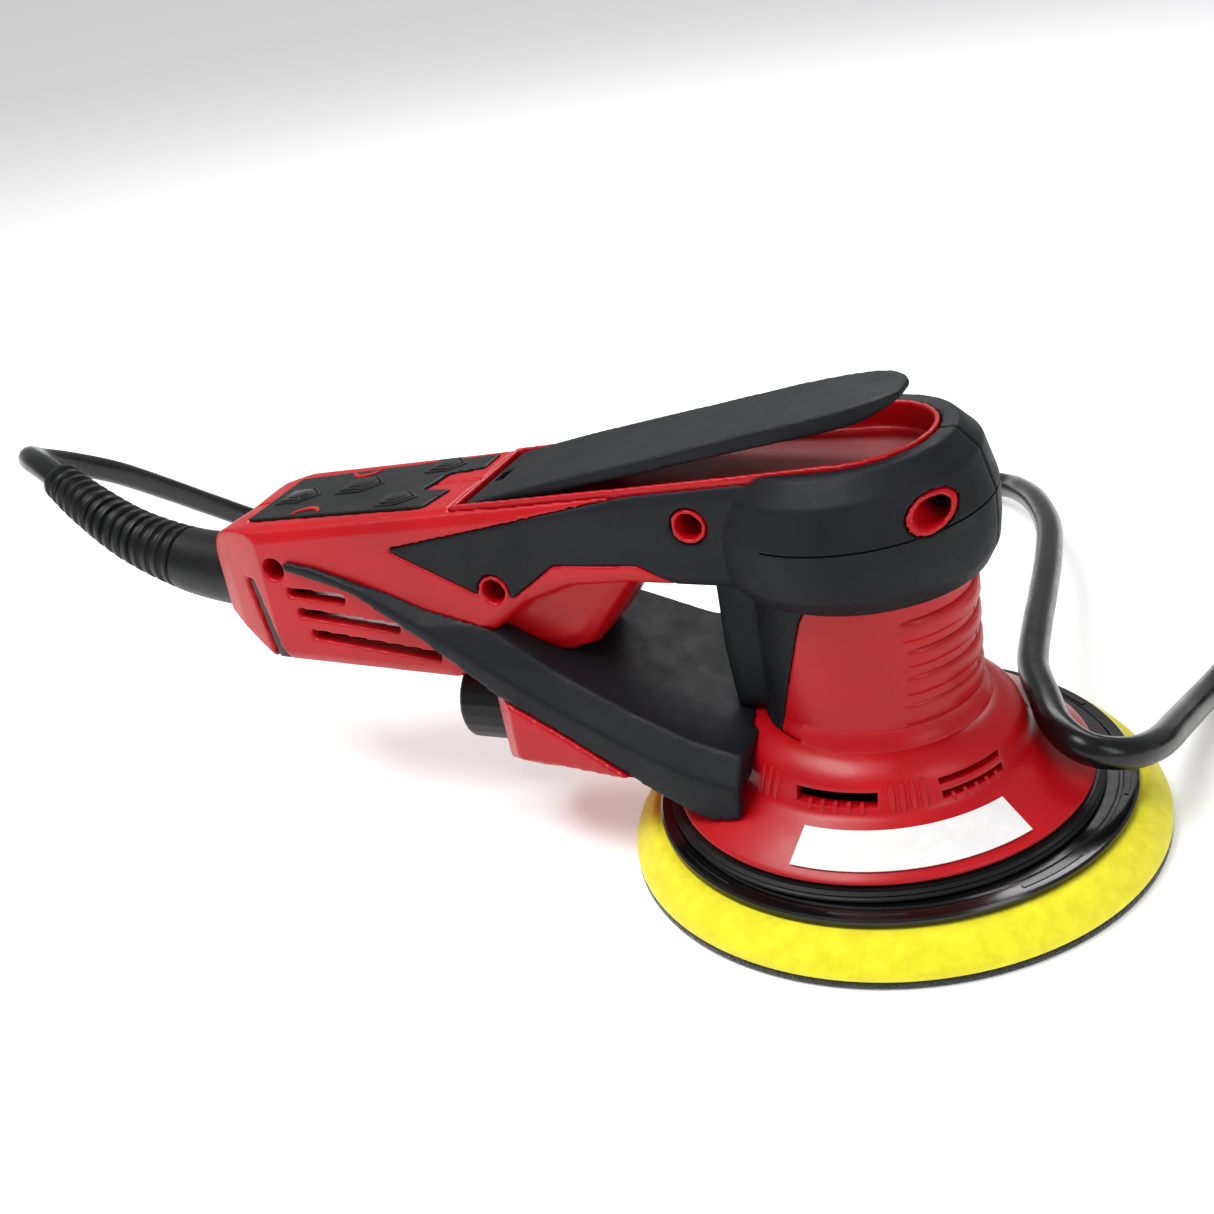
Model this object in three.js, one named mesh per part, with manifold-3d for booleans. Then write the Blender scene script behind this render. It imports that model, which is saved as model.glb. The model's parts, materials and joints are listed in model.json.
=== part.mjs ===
// Dual action polisher: an electric random-orbit machine with a 150 mm pad, a paddle
// switch along the handle, a dust duct under it and a mains cord.
// Millimetres, +Z up. The origin is on the motor axis at the working face of the pad.
// +X points at the nose, so the tail lies towards -X.
import * as THREE from 'three';
import { mergeVertices } from 'three/addons/utils/BufferGeometryUtils.js';
import Module from 'manifold-3d';

const wasm = await Module();
wasm.setup();

// ---------------------------------------------------------------- driving dimensions
const GAP = 0.3;                 // clearance between touching pieces
const ROUND = 28;                // segments of a large turned piece
const FINE = 12;                 // segments of a small turned piece
const SLIVER = 0.02;             // finest detail that is kept after joining and cutting
const WIDE = 80;                 // half width of a cutter that passes right through

const PAD_RADIUS = 75;
const PAD_TOP_RADIUS = 68;
const PLATE_RADIUS = 66.5;
const HOOK_TOP = 2;
const FOAM_TOP = 12;
const PLATE_TOP = 15;
const ORBIT_OFFSET = 2.5;        // half of the 5 mm orbit
const DUST_HOLES = 8;
const DUST_HOLE_RADIUS = 5;
const DUST_HOLE_CIRCLE = 42;

const NECK_RADIUS = 29.5;
const NECK_BOTTOM = 42;
const HEAD_RADIUS = 37.5;
const HEAD_BOTTOM = 83;
const HEAD_TOP = 118.3;
const HEAD_LEAN = 0.1;           // rise of the head's top towards the nose, per mm

const HANDLE_HALF_WIDTH = 24.5;
const HANDLE_BEVEL = 4;
const PILLAR_HALF_WIDTH = 17;
const TAIL_END = -203;
const GRIP_SKIN = 2.3;           // thickness of the soft grip
const SHELL_WALL = 4.8;          // grip and shell together

const BASE_RADIUS = 58;
const BASE_BOTTOM = 18.5;
const BASE_TOP = 41.5;

const DUCT_WALL = 2.5;
const DUCT_END = -106;
const ARM_FRONT = -26;
const PORT_RADIUS = 13.5;
const PORT_BORE = 11.5;
const PORT_HEIGHT = 31.5;
const PORT_END = -128.5;

const PANEL_CENTRE = [-157, 0, 99.2];
const PANEL_SLOPE = Math.atan(7 / 62);
const PANEL_BASE = -1.2;
const PANEL_FACE = 0.6;
const BUTTON_BASE = -2.2;
const BUTTON_FACE = 1.4;
const BUTTONS = [                // name, place on the panel, size, shape
  ['power_button', -20, 0, 1.15],
  ['speed_button', 1, 4, 1.25],
  ['plus_button', 23, -10.5, 1],
  ['minus_button', 27, 13, 1],
];

const TRAY_WALL = 1.4;
const TRAY_FLOOR = 1.5;
const TRAY_REAR = -110.5;
const TRAY_NOSE_CENTRE = 1;
const TRAY_NOSE_RADIUS = 22.8;
const TRAY_REAR_HALF_WIDTH = 21.2;

const PIVOT = [-103, 0, 101.8];
const PIVOT_PIN_RADIUS = 1.2;
const PADDLE_HUB_RADIUS = 2.8;

const CORD_RADIUS = 4.5;
const CORD_EXIT_HEIGHT = 71;
const BOOT_ROOT_RADIUS = 12.4;
const BOOT_TIP_RADIUS = 6.8;
const COIL_CENTRE = [184, 176];
const COIL_MEAN_RADIUS = 54;
const COIL_HALF_WIDTH = 13.5;
const COIL_HEIGHT = 27;
const COIL_BOTTOM = 0.7;
const TIE_DEPTH = 0.8;
const TIE_PROUD = 0.5;

const SHAFT_RADIUS = 4;
const STATOR_RADIUS = 24.2;
const ROTOR_RADIUS = 14;

// ---------------------------------------------------------------- colours and finishes
const finish = (color, roughness, metalness = 0) =>
  () => new THREE.MeshStandardMaterial({ color, roughness, metalness });
const redPlastic = finish(0xc40a14, 0.35);
const softGrip = finish(0x15181b, 0.75);
const blackPlastic = finish(0x0d0e10, 0.4);
const glossBlack = finish(0x08090a, 0.12);
const yellowFoam = finish(0xf2e21a, 0.9);
const hookFabric = finish(0x141414, 0.95);
const rubber = finish(0x0b0c0d, 0.55);
const steel = finish(0x9a9c9f, 0.3, 1);
const aluminium = finish(0xb4b7ba, 0.4, 1);
const copper = finish(0xb06a3a, 0.4, 1);
const brass = finish(0xc9a24a, 0.3, 1);
const boardGreen = finish(0x12592f, 0.5);
const whitePaper = finish(0xf1f1ee, 0.6);

// ---------------------------------------------------------------- solids
// A closed three.js geometry as a manifold, with its faces turned outwards.
function solid(geometry) {
  const bare = geometry.clone();
  bare.deleteAttribute('normal');
  bare.deleteAttribute('uv');
  const merged = mergeVertices(bare, 1e-4);
  const points = Float32Array.from(merged.attributes.position.array);
  const corner = (i) => new THREE.Vector3(points[3 * i], points[3 * i + 1], points[3 * i + 2]);
  const triangles = [];
  let volume = 0;
  for (let t = 0; t < merged.index.count; t += 3) {
    const [a, b, c] = [0, 1, 2].map((k) => merged.index.getX(t + k));
    if (a === b || b === c || c === a) continue;
    triangles.push([a, b, c]);
    volume += corner(a).dot(corner(b).cross(corner(c)));
  }
  const turned = volume < 0 ? triangles.map(([a, b, c]) => [a, c, b]) : triangles;
  return new wasm.Manifold(new wasm.Mesh({
    numProp: 3, vertProperties: points, triVerts: Uint32Array.from(turned.flat()),
  }));
}

const join = (...solids) => solids.reduce((whole, next) => whole.add(next));
const cut = (whole, ...cutters) => cutters.reduce((rest, next) => rest.subtract(next), whole);

// The largest separate body of a solid.
function mainBody(whole) {
  const bodies = whole.decompose();
  return bodies.reduce((best, next) => (next.volume() > best.volume() ? next : best));
}

function asGeometry(whole) {
  const mesh = whole.getMesh();
  const geometry = new THREE.BufferGeometry();
  geometry.setAttribute('position', new THREE.BufferAttribute(Float32Array.from(mesh.vertProperties), 3));
  geometry.setIndex(new THREE.BufferAttribute(Uint32Array.from(mesh.triVerts), 1));
  return geometry;
}

function named(name, whole, material) {
  const mesh = new THREE.Mesh(asGeometry(mainBody(whole.simplify(SLIVER))), material());
  mesh.name = name;
  return mesh;
}

// ---------------------------------------------------------------- form helpers
const outline = (points) => new THREE.Shape(points.map(([x, y]) => new THREE.Vector2(x, y)));

// A closed profile of [radius, height] points turned about the Z axis.
function turnedGeometry(profile, segments) {
  const closed = [...profile];
  if (profile[0][0] > 0) closed.push(profile[0]);
  return new THREE.LatheGeometry(closed.map(([r, z]) => new THREE.Vector2(r, z)), segments)
    .rotateX(Math.PI / 2);
}

const turned = (profile, segments = ROUND) => solid(turnedGeometry(profile, segments));

const disc = (radius, low, high, segments = ROUND) =>
  turned([[0, low], [radius, low], [radius, high], [0, high]], segments);

const ring = (inner, outer, low, high, segments = ROUND) =>
  turned([[inner, low], [outer, low], [outer, high], [inner, high]], segments);

// An outline in X and Z, thickened along Y about the middle plane. The inset moves every
// face inwards, and the bevel rounds the two rims.
function sideSlab(shape, halfWidth, bevel = 0, inset = 0) {
  const half = halfWidth - inset - bevel;
  const geometry = new THREE.ExtrudeGeometry(shape, {
    depth: 2 * half, steps: 1, curveSegments: 4, bevelEnabled: bevel > 0,
    bevelThickness: bevel, bevelSize: bevel, bevelOffset: -bevel - inset, bevelSegments: 2,
  });
  geometry.translate(0, 0, -half);
  return solid(geometry.rotateX(Math.PI / 2));
}

// An outline in X and Y, thickened along Z.
function planSlab(shape, low, high, curveSegments = 8) {
  const geometry = new THREE.ExtrudeGeometry(shape, {
    depth: high - low, steps: 1, curveSegments, bevelEnabled: false,
  });
  return solid(geometry.translate(0, 0, low));
}

function box(low, high) {
  const size = high.map((v, i) => v - low[i]);
  const geometry = new THREE.BoxGeometry(...size);
  return solid(geometry.translate(...low.map((v, i) => v + size[i] / 2)));
}

// A cylinder along Y at the given x and z.
function crossPin(x, z, radius, from, to, segments = FINE) {
  const geometry = new THREE.CylinderGeometry(radius, radius, to - from, segments);
  return solid(geometry.translate(x, (from + to) / 2, z));
}

// A closed profile of [radius, distance] points turned about a line along X.
function turnedAlongX(profile, height, segments = FINE) {
  const closed = [...profile];
  if (profile[0][0] > 0) closed.push(profile[0]);
  const geometry = new THREE.LatheGeometry(closed.map(([r, x]) => new THREE.Vector2(r, x)), segments);
  return solid(geometry.rotateZ(-Math.PI / 2).translate(0, 0, height));
}

// Sections [x, [[y, z], ...]] with the same number of points, joined along X.
function loftAlongX(sections) {
  const count = sections[0][1].length;
  const places = sections.flatMap(([x, points]) => points.flatMap(([y, z]) => [x, y, z]));
  const faces = [];
  for (let s = 0; s + 1 < sections.length; s += 1) {
    for (let i = 0; i < count; i += 1) {
      const [a, b] = [s * count + i, s * count + ((i + 1) % count)];
      faces.push(a, b, a + count, b, b + count, a + count);
    }
  }
  const last = (sections.length - 1) * count;
  const cap = THREE.ShapeUtils.triangulateShape(sections[0][1].map(([y, z]) => new THREE.Vector2(y, z)), []);
  for (const [a, b, c] of cap) faces.push(a, c, b, last + a, last + b, last + c);
  const geometry = new THREE.BufferGeometry();
  geometry.setAttribute('position', new THREE.Float32BufferAttribute(places, 3));
  geometry.setIndex(faces);
  return solid(geometry);
}

const mirrored = (points) => [...points, ...points.map(([x, y]) => [x, -y]).reverse()];
const nearHalf = box([-400, -WIDE, -20], [100, -GAP / 2, 200]);
const farHalf = box([-400, GAP / 2, -20], [100, WIDE, 200]);
const onPanel = (whole) => whole.rotate([0, -THREE.MathUtils.radToDeg(PANEL_SLOPE), 0])
  .translate(PANEL_CENTRE);

// ---------------------------------------------------------------- main outlines (x, z)
function handleOutline() {
  const shape = new THREE.Shape();
  shape.moveTo(TAIL_END, 64);
  shape.lineTo(TAIL_END, 82);
  shape.quadraticCurveTo(TAIL_END, 91, TAIL_END + 9, 94);
  shape.lineTo(-185, 96);
  shape.lineTo(-123, 103);
  shape.lineTo(-33, 113.8);
  shape.lineTo(0, 118);
  shape.lineTo(0, 84);
  shape.lineTo(-57, 84);
  shape.bezierCurveTo(-84, 84, -100, 74, -118, 50);
  shape.lineTo(-184, 52.5);
  return shape;
}

const handlePlan = (inset) => outline(mirrored([
  [TAIL_END - 1 + inset, 13.4 - inset], [TAIL_END + 7, 17.6 - inset],
  [TAIL_END + 27, HANDLE_HALF_WIDTH + 1 - inset],
  [2, HANDLE_HALF_WIDTH + 1 - inset],
]));

const pillarOutline = outline([
  [-54, 96], [-60, 80], [-76, 59.5], [-84, 56.5], [-108, 57.5], [-116, 96],
]);

// Where the soft grip covers the shell, seen from the side.
const gripOutline = outline([
  [-133, 92.5], [-49, 111.5], [-38, 113.5], [-38, 140], [60, 140], [60, HEAD_BOTTOM], [-6, HEAD_BOTTOM],
  [-9, 77], [-23, 30], [-44, 30], [-44, 85.5], [-54, 90.5], [-79, 89.5], [-92, 80], [-100, 75.5], [-107, 80],
]);

function headProfile(inset) {
  const top = HEAD_TOP - inset;
  const bottom = NECK_BOTTOM - (inset > 0 ? 1 : 0);
  const wall = [[30.8, bottom], [NECK_RADIUS, 46], [NECK_RADIUS, HEAD_BOTTOM - 1],
    [34.2, HEAD_BOTTOM + 0.5], [36.8, HEAD_BOTTOM + 5], [HEAD_RADIUS, 94], [HEAD_RADIUS, 102], [34.2, 112.5]];
  return [[0, bottom], ...wall.map(([r, z]) => [r - inset, z]), [28.5 - inset, top], [0, top]];
}

// The thick rear edge of the neck, in front of the hand.
const spineOutline = outline([[-37.5, 90], [-37.5, 60], [-35.8, NECK_BOTTOM], [-10, NECK_BOTTOM], [-10, 90]]);

// The head, its top rising towards the nose.
function leaningHead(inset) {
  const geometry = turnedGeometry(headProfile(inset), ROUND);
  const place = geometry.attributes.position;
  for (let i = 0; i < place.count; i += 1) {
    const share = THREE.MathUtils.clamp((place.getZ(i) - HEAD_BOTTOM) / (HEAD_TOP - HEAD_BOTTOM), 0, 1);
    place.setZ(i, place.getZ(i) + HEAD_LEAN * place.getX(i) * share);
  }
  return solid(geometry);
}

// The housing's outer form, moved inwards by the inset.
function housingForm(inset) {
  const handle = sideSlab(handleOutline(), HANDLE_HALF_WIDTH, HANDLE_BEVEL, inset)
    .intersect(planSlab(handlePlan(inset), 30, 140));
  const pillar = sideSlab(pillarOutline, PILLAR_HALF_WIDTH, 6, inset);
  const spine = sideSlab(spineOutline, 15, 4, inset);
  return join(handle, pillar, spine, leaningHead(inset));
}

function trayPlan(grow) {
  const rear = TRAY_REAR - grow;
  const shape = new THREE.Shape();
  shape.moveTo(rear, -TRAY_REAR_HALF_WIDTH - grow);
  shape.lineTo(TRAY_NOSE_CENTRE, -TRAY_NOSE_RADIUS - grow);
  shape.absarc(TRAY_NOSE_CENTRE, 0, TRAY_NOSE_RADIUS + grow, -Math.PI / 2, Math.PI / 2, false);
  shape.lineTo(rear, TRAY_REAR_HALF_WIDTH + grow);
  return shape;
}

// Everything above the tray's floor line lowered by the drop, up to the rim or beyond it.
function trayBand(drop, open) {
  const rise = open ? 60 : 0;
  return sideSlab(outline([
    [-115, 96.2 - drop], [-60, 105.6 - drop], [-37, 109.2 - drop], [10, 112.3 - drop], [36, 114.4 - drop],
    [36, 122.4 + rise], [0, 119 + rise], [-33, 114.6 + rise], [-115, 104.6 + rise],
  ]), WIDE);
}

// ---------------------------------------------------------------- screws of the housing
const SIDE_SCREWS = [            // name, x, z, y of the screw head's top
  ['screw_tail', -174, 84.4, -10],
  ['screw_handle', -100, 80.5, -9],
  ['screw_head_rear', -37, 102.5, -11],
  ['screw_head_nose', 27, 107.6, -10],
];
const SCREW_HEAD_RADIUS = 3.2;
const SCREW_RADIUS = 1.5;
const SCREW_TUBE_RADIUS = 5;

function screwBoss(x, z) {
  return crossPin(x, z, SCREW_TUBE_RADIUS, -WIDE, 14);
}

function screwBore(x, z, headY) {
  return join(
    crossPin(x, z, SCREW_HEAD_RADIUS + 0.5, -WIDE, headY + 0.5),
    crossPin(x, z, SCREW_RADIUS + GAP, -WIDE, 11),
  );
}

function sideScrew([name, x, z, headY]) {
  const head = crossPin(x, z, SCREW_HEAD_RADIUS, headY - 2.4, headY);
  const recess = crossPin(x, z, 1.6, headY - 3, headY - 1, 6);
  const shank = crossPin(x, z, SCREW_RADIUS, headY - 0.5, 10, 12);
  return named(name, cut(join(head, shank), recess), steel);
}

// ---------------------------------------------------------------- housing and grips
const form = housingForm(0);
const gripZone = sideSlab(gripOutline, WIDE);
const trayPocket = planSlab(trayPlan(GAP), 80, 200).intersect(trayBand(TRAY_FLOOR + GAP, true));
const bosses = SIDE_SCREWS.map(([, x, z]) => screwBoss(x, z).intersect(form));
const bores = SIDE_SCREWS.map(([, x, z, headY]) => screwBore(x, z, headY));

// Where the cooling slots cut the tail: they fan out under the side strip.
const SLOTS = [[-171, -151, 77, 75.4], [-169, -134, 70.2, 66.6], [-166, -122, 63, 58]];
function coolingSlots() {
  return SLOTS.map(([rear, front, rearHeight, frontHeight]) => sideSlab(outline([
    [rear, rearHeight - 1.5], [front, frontHeight - 1.5], [front, frontHeight + 1.5],
    [rear, rearHeight + 1.5],
  ]), WIDE));
}

function panelOutline(grow) {
  return outline([
    [-30 - grow, -15.5 - grow], [36 + grow, -18.3 - grow], [39 + grow, -7 + grow], [28 + grow, -5 + grow],
    [31 + grow, 7 - grow], [42.5 + grow, 8.5 - grow], [42.5 + grow, 18.3 + grow], [-30 - grow, 15.5 + grow],
  ]);
}

function buttonOutline(x, y, size, grow) {
  const half = 3.6 * size + grow;
  return outline([
    [x - 4.5 * size - grow, y - half], [x + 1.6 * size, y - half], [x + 5.2 * size + grow, y],
    [x + 1.6 * size, y + half], [x - 4.5 * size - grow, y + half],
  ]);
}

function panelPocket() {
  const holes = BUTTONS.map(([, x, y, size]) => planSlab(buttonOutline(x, y, size, 0.9), -12, 5));
  return onPanel(join(planSlab(panelOutline(GAP), PANEL_BASE - GAP, 12), ...holes));
}

// The bumper is a band round the sides and bottom of the tail.
function bumperBand(grow) {
  return sideSlab(outline([
    [-188 - grow, 79 + grow], [-184.4 + grow, 79 + grow], [-175.5 + grow, 45], [-181 - grow, 45],
  ]), WIDE);
}

const bootSocket = turnedAlongX([[0, TAIL_END - 2], [BOOT_ROOT_RADIUS + 0.9, TAIL_END - 2],
  [BOOT_ROOT_RADIUS + 0.9, TAIL_END + 0.6], [10, TAIL_END + 8.2], [10, TAIL_END + 11], [0, TAIL_END + 11]],
CORD_EXIT_HEIGHT, 16);

const pivotBore = crossPin(PIVOT[0], PIVOT[2], PIVOT_PIN_RADIUS + 0.1, -22.8, 22.8, 12);

function housingBody() {
  const eyes = SIDE_SCREWS.map(([, x, z]) => crossPin(x, z, SCREW_TUBE_RADIUS, -WIDE, 0));
  const skin = cut(gripZone, housingForm(GRIP_SKIN + GAP), ...eyes);
  const band = cut(bumperBand(GAP), housingForm(GRIP_SKIN));
  const hollow = join(cut(form, housingForm(SHELL_WALL)), ...bosses);
  return cut(hollow, skin, trayPocket, panelPocket(), band, bootSocket, pivotBore,
    ...coolingSlots(), ...bores);
}

const housing = housingBody();
const housing_right = () => named('housing_right', housing.intersect(nearHalf), redPlastic);
const housing_left = () => named('housing_left', housing.intersect(farHalf), redPlastic);

function gripBody() {
  const skin = cut(form.intersect(gripZone), housingForm(GRIP_SKIN));
  const eyes = SIDE_SCREWS.slice(1).map(([, x, z]) => crossPin(x, z, SCREW_TUBE_RADIUS + GAP, -WIDE, 0));
  return cut(skin, trayPocket, ...eyes);
}

const grip = gripBody();
const grip_right = () => named('grip_right', grip.intersect(nearHalf), softGrip);
const grip_left = () => named('grip_left', grip.intersect(farHalf), softGrip);

const tail_bumper = () => named('tail_bumper',
  cut(bumperBand(0).intersect(form), housingForm(GRIP_SKIN - GAP)), rubber);

function recess_tray() {
  const outer = planSlab(trayPlan(0), 80, 200).intersect(trayBand(TRAY_FLOOR, false));
  const inner = planSlab(trayPlan(-TRAY_WALL), 80, 200).intersect(trayBand(0, true));
  return named('recess_tray', cut(outer, inner, pivotBore), redPlastic);
}

// ---------------------------------------------------------------- paddle switch
function paddleOutline() {
  const shape = new THREE.Shape();
  shape.moveTo(-107, 101.5);
  shape.lineTo(-107.4, 104.8);
  shape.splineThru([[-80, 111.8], [-47, 119.3], [-17, 126.3], [5, 130.8], [14, 132]]
    .map(([x, z]) => new THREE.Vector2(x, z)));
  shape.quadraticCurveTo(17.5, 132.2, 16.6, 130.2);
  shape.splineThru([[6, 126.2], [-17, 121.8], [-57, 113.2], [-92, 105.2], [-98, 101.8]]
    .map(([x, z]) => new THREE.Vector2(x, z)));
  return shape;
}

function paddlePlan() {
  const shape = new THREE.Shape();
  shape.moveTo(-110, -19);
  shape.lineTo(-57, -18.4);
  shape.lineTo(-17, -17);
  shape.bezierCurveTo(4, -16, 17, -13, 17, 0);
  shape.bezierCurveTo(17, 13, 4, 16, -17, 17);
  shape.lineTo(-57, 18.4);
  shape.lineTo(-110, 19);
  return shape;
}

function paddle() {
  const blade = sideSlab(paddleOutline(), 19.2).intersect(planSlab(paddlePlan(), 90, 140));
  const hub = crossPin(PIVOT[0], PIVOT[2], PADDLE_HUB_RADIUS, -17, 17);
  const rib = box([-52, -2.5, 114.8], [-44, 2.5, 117.2]);
  const bore = crossPin(PIVOT[0], PIVOT[2], PIVOT_PIN_RADIUS + 0.1, -WIDE, WIDE, 12);
  const window = crossPin(PIVOT[0], PIVOT[2], 4, -4.3, 4.3);
  return named('paddle', cut(join(blade, hub, rib), bore, window), softGrip);
}

const paddle_pin = () => named('paddle_pin',
  crossPin(PIVOT[0], PIVOT[2], PIVOT_PIN_RADIUS, -22.5, 22.5, 12), steel);

// A torsion spring shown as its outer sleeve, in the gap between the two halves of the hub.
const paddle_spring = () => named('paddle_spring', cut(
  crossPin(PIVOT[0], PIVOT[2], 2.6, -4, 4), crossPin(PIVOT[0], PIVOT[2], 1.6, -WIDE, WIDE, 12),
), steel);

const microswitch = () => named('microswitch', box([-62, -5.5, 89], [-42, 5.5, 99.5]), blackPlastic);

// ---------------------------------------------------------------- control panel
function control_panel() {
  const holes = BUTTONS.map(([, x, y, size]) => planSlab(buttonOutline(x, y, size, 0.35), -5, 5));
  return named('control_panel', onPanel(cut(planSlab(panelOutline(0), PANEL_BASE, PANEL_FACE), ...holes)),
    blackPlastic);
}

const panelButtons = () => BUTTONS.map(([name, x, y, size]) => named(name,
  onPanel(planSlab(buttonOutline(x, y, size, 0), BUTTON_BASE, BUTTON_FACE)), glossBlack));

// ---------------------------------------------------------------- base
const baseWall = [[BASE_RADIUS - 0.7, BASE_BOTTOM], [BASE_RADIUS, BASE_BOTTOM + 1.3], [45, 27.2],
  [41.4, 29.2], [39, 36.4], [36.8, 38.6], [32.4, BASE_TOP]];

function base_housing() {
  const inside = [[29.6, BASE_TOP], [29.6, 38], [35.2, 35.6], [38.2, 28.6], [54.4, BASE_BOTTOM]];
  const shell = turned([...baseWall, ...inside], 36);
  const across = (angle, width, low, high) => box([30, -width / 2, low], [46, width / 2, high])
    .rotate([0, 0, angle]);
  const windows = [];
  for (const side of [-1, 1]) {
    windows.push(across(side * 90, 22, 30.8, 34.8));
    windows.push(across(side * 36, 20, 30.4, 32.4), across(side * 36, 20, 34, 35.8));
  }
  const outlet = box([-70, -22, 20], [-28, 22, 33]);
  return named('base_housing', cut(shell, ...windows, outlet), redPlastic);
}

const dust_skirt = () => named('dust_skirt', turned([[53.5, 15.6], [60.5, 15.6], [59.5, 16.8],
  [55, 18.1], [53.5, 18.1]], 36), rubber);

// A blank rating label that follows the cone of the skirt.
function label() {
  const low = [55.2, 21.9];
  const high = [45.6, 27.1];
  const lift = [GAP, GAP * 1.8];
  const band = [low, high, [high[0] + 0.2, high[1] + 0.35], [low[0] + 0.2, low[1] + 0.35]]
    .map(([r, z]) => [r + lift[0], z + lift[1]]);
  const sector = planSlab(outline([[0, 0], [-14, -80], [35, -80], [80, -50]]), 10, 40);
  return named('label', turned(band, 40).intersect(sector), whitePaper);
}

// ---------------------------------------------------------------- dust duct
const armPlan = (inset) => outline(mirrored([
  [-180, 26 - inset], [-150, 27.2 - inset], [-112, 30.5 - inset], [-83, 33.5 - inset], [-70, 35.5 - inset],
  [-39, 42 - inset], [ARM_FRONT, 43 - inset],
]));

// The base as a solid, grown a little, for cutting what fits round it.
const baseClearance = () => turned([[0, 0], ...baseWall.map(([r, z]) => [r + 0.5, z + 0.4]),
  [0, BASE_TOP + 0.4]], 36);

const lipLine = [[-172, 85.6], [-147, 78.9], [-125, 66], [-101, 49.8], [-56, 29], [-41, 24.3],
  [ARM_FRONT + 2, 20.4]];

// The arm's sections: x, half width, height of the crease along its side, height of its top.
const ARM = [
  [-170, 26.4, 87.4, 89.2], [-160, 26.7, 85.8, 88], [-147, 27.4, 81.4, 84], [-125, 29.3, 70.5, 76.5],
  [-106, 31.1, 60.2, 70], [-84, 33.4, 49.5, 57.5], [-60, 37, 40.6, 48], [-41, 41.4, 36.2, 43.5],
  [ARM_FRONT, 43, 34, 41],
];
const ARM_CHAMFER = 6.5;

function duct_cover() {
  const arm = loftAlongX(ARM.map(([x, half, crease, top]) =>
    [x, [[-half, 0], [half, 0], [half, crease], [half - ARM_CHAMFER, top], [ARM_CHAMFER - half, top],
      [-half, crease]]]));
  const below = sideSlab(outline([...lipLine, [ARM_FRONT + 2, -20], [-182, -20], [-182, 90]]), WIDE);
  const cavity = planSlab(armPlan(DUCT_WALL + 0.5), 0, 120).intersect(sideSlab(outline([
    [-101, -20], [-101, 44], [-84, 46.5], [-60, 37.6], [-41, 33], [0, 31], [0, -20],
  ]), WIDE));
  return named('duct_cover', cut(arm, below, cavity, housingForm(-GAP), baseClearance()), softGrip);
}

// The duct is flat underneath and its sides slope up to the lip.
const KEEL = [[-12, 15], [12, 15], [22, 23], [30, 30], [46, 31], [46, 160], [-46, 160], [-46, 31], [-30, 30],
  [-22, 23]];
const keelSlab = (lift) => loftAlongX([-200, 20].map((x) => [x, KEEL.map(([y, z]) => [y, z + lift])]));

function duct_shell() {
  const keel = sideSlab(outline([
    [-44, 19], [-72, 19], [-84, 15.6], [DUCT_END + 2, 15], [DUCT_END, 40], [DUCT_END - 2, 110], [-44, 110],
  ]), 46);
  const corners = planSlab(outline(mirrored([[DUCT_END - 2, 23], [DUCT_END + 8, 33], [0, 60]])), 0, 120);
  const body = planSlab(armPlan(-0.8), 0, 120).intersect(keel).intersect(keelSlab(0)).intersect(corners);
  const above = sideSlab(outline([
    ...lipLine.map(([x, z]) => [x, z - GAP]), [ARM_FRONT + 2, 160], [-182, 160],
  ]), WIDE);
  const inside = sideSlab(outline([
    [0, 21.3], [-72, 21.3], [-84, 17.8], [DUCT_END + DUCT_WALL + 2, 17.5], [DUCT_END + DUCT_WALL, 40],
    [DUCT_END + DUCT_WALL, 110], [0, 110],
  ]), WIDE);
  const room = planSlab(outline(mirrored([[DUCT_END, 19], [DUCT_END + 11, 31], [0, 58]])), 0, 120);
  const cavity = planSlab(armPlan(DUCT_WALL), 0, 120).intersect(keelSlab(DUCT_WALL)).intersect(inside)
    .intersect(room);
  const portHole = turnedAlongX([[0, PORT_END - 2], [PORT_RADIUS + GAP, PORT_END - 2],
    [PORT_RADIUS + GAP, DUCT_END + 3.4], [0, DUCT_END + 3.4]], PORT_HEIGHT, 24);
  const portRoom = turnedAlongX([[0, DUCT_END + DUCT_WALL], [PORT_RADIUS + 1, DUCT_END + DUCT_WALL],
    [PORT_RADIUS + 1, DUCT_END + 7], [0, DUCT_END + 7]], PORT_HEIGHT, 24);
  return named('duct_shell', cut(body, above, cavity, portHole, portRoom, housingForm(-GAP), baseClearance()),
    redPlastic);
}

const dust_port = () => named('dust_port', turnedAlongX([
  [PORT_BORE, DUCT_END + 4.6], [PORT_RADIUS + 0.6, DUCT_END + 4.6], [PORT_RADIUS + 0.6, DUCT_END + 2.9],
  [PORT_RADIUS, DUCT_END + 2.9], [PORT_RADIUS, PORT_END + 1], [PORT_RADIUS - 0.8, PORT_END],
  [PORT_BORE, PORT_END],
], PORT_HEIGHT, 24), blackPlastic);

// ---------------------------------------------------------------- motor
function stator() {
  const teeth = 9;
  const bore = ROTOR_RADIUS + 0.8;
  const core = ring(bore, STATOR_RADIUS, 53, 77, 27);
  const slots = [];
  for (let i = 0; i < teeth; i += 1) {
    slots.push(box([bore + 1.5, -2.4, 50], [21, 2.4, 80]).rotate([0, 0, (360 * (i + 0.5)) / teeth]));
  }
  return named('stator', cut(core, ...slots), copper);
}

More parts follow.
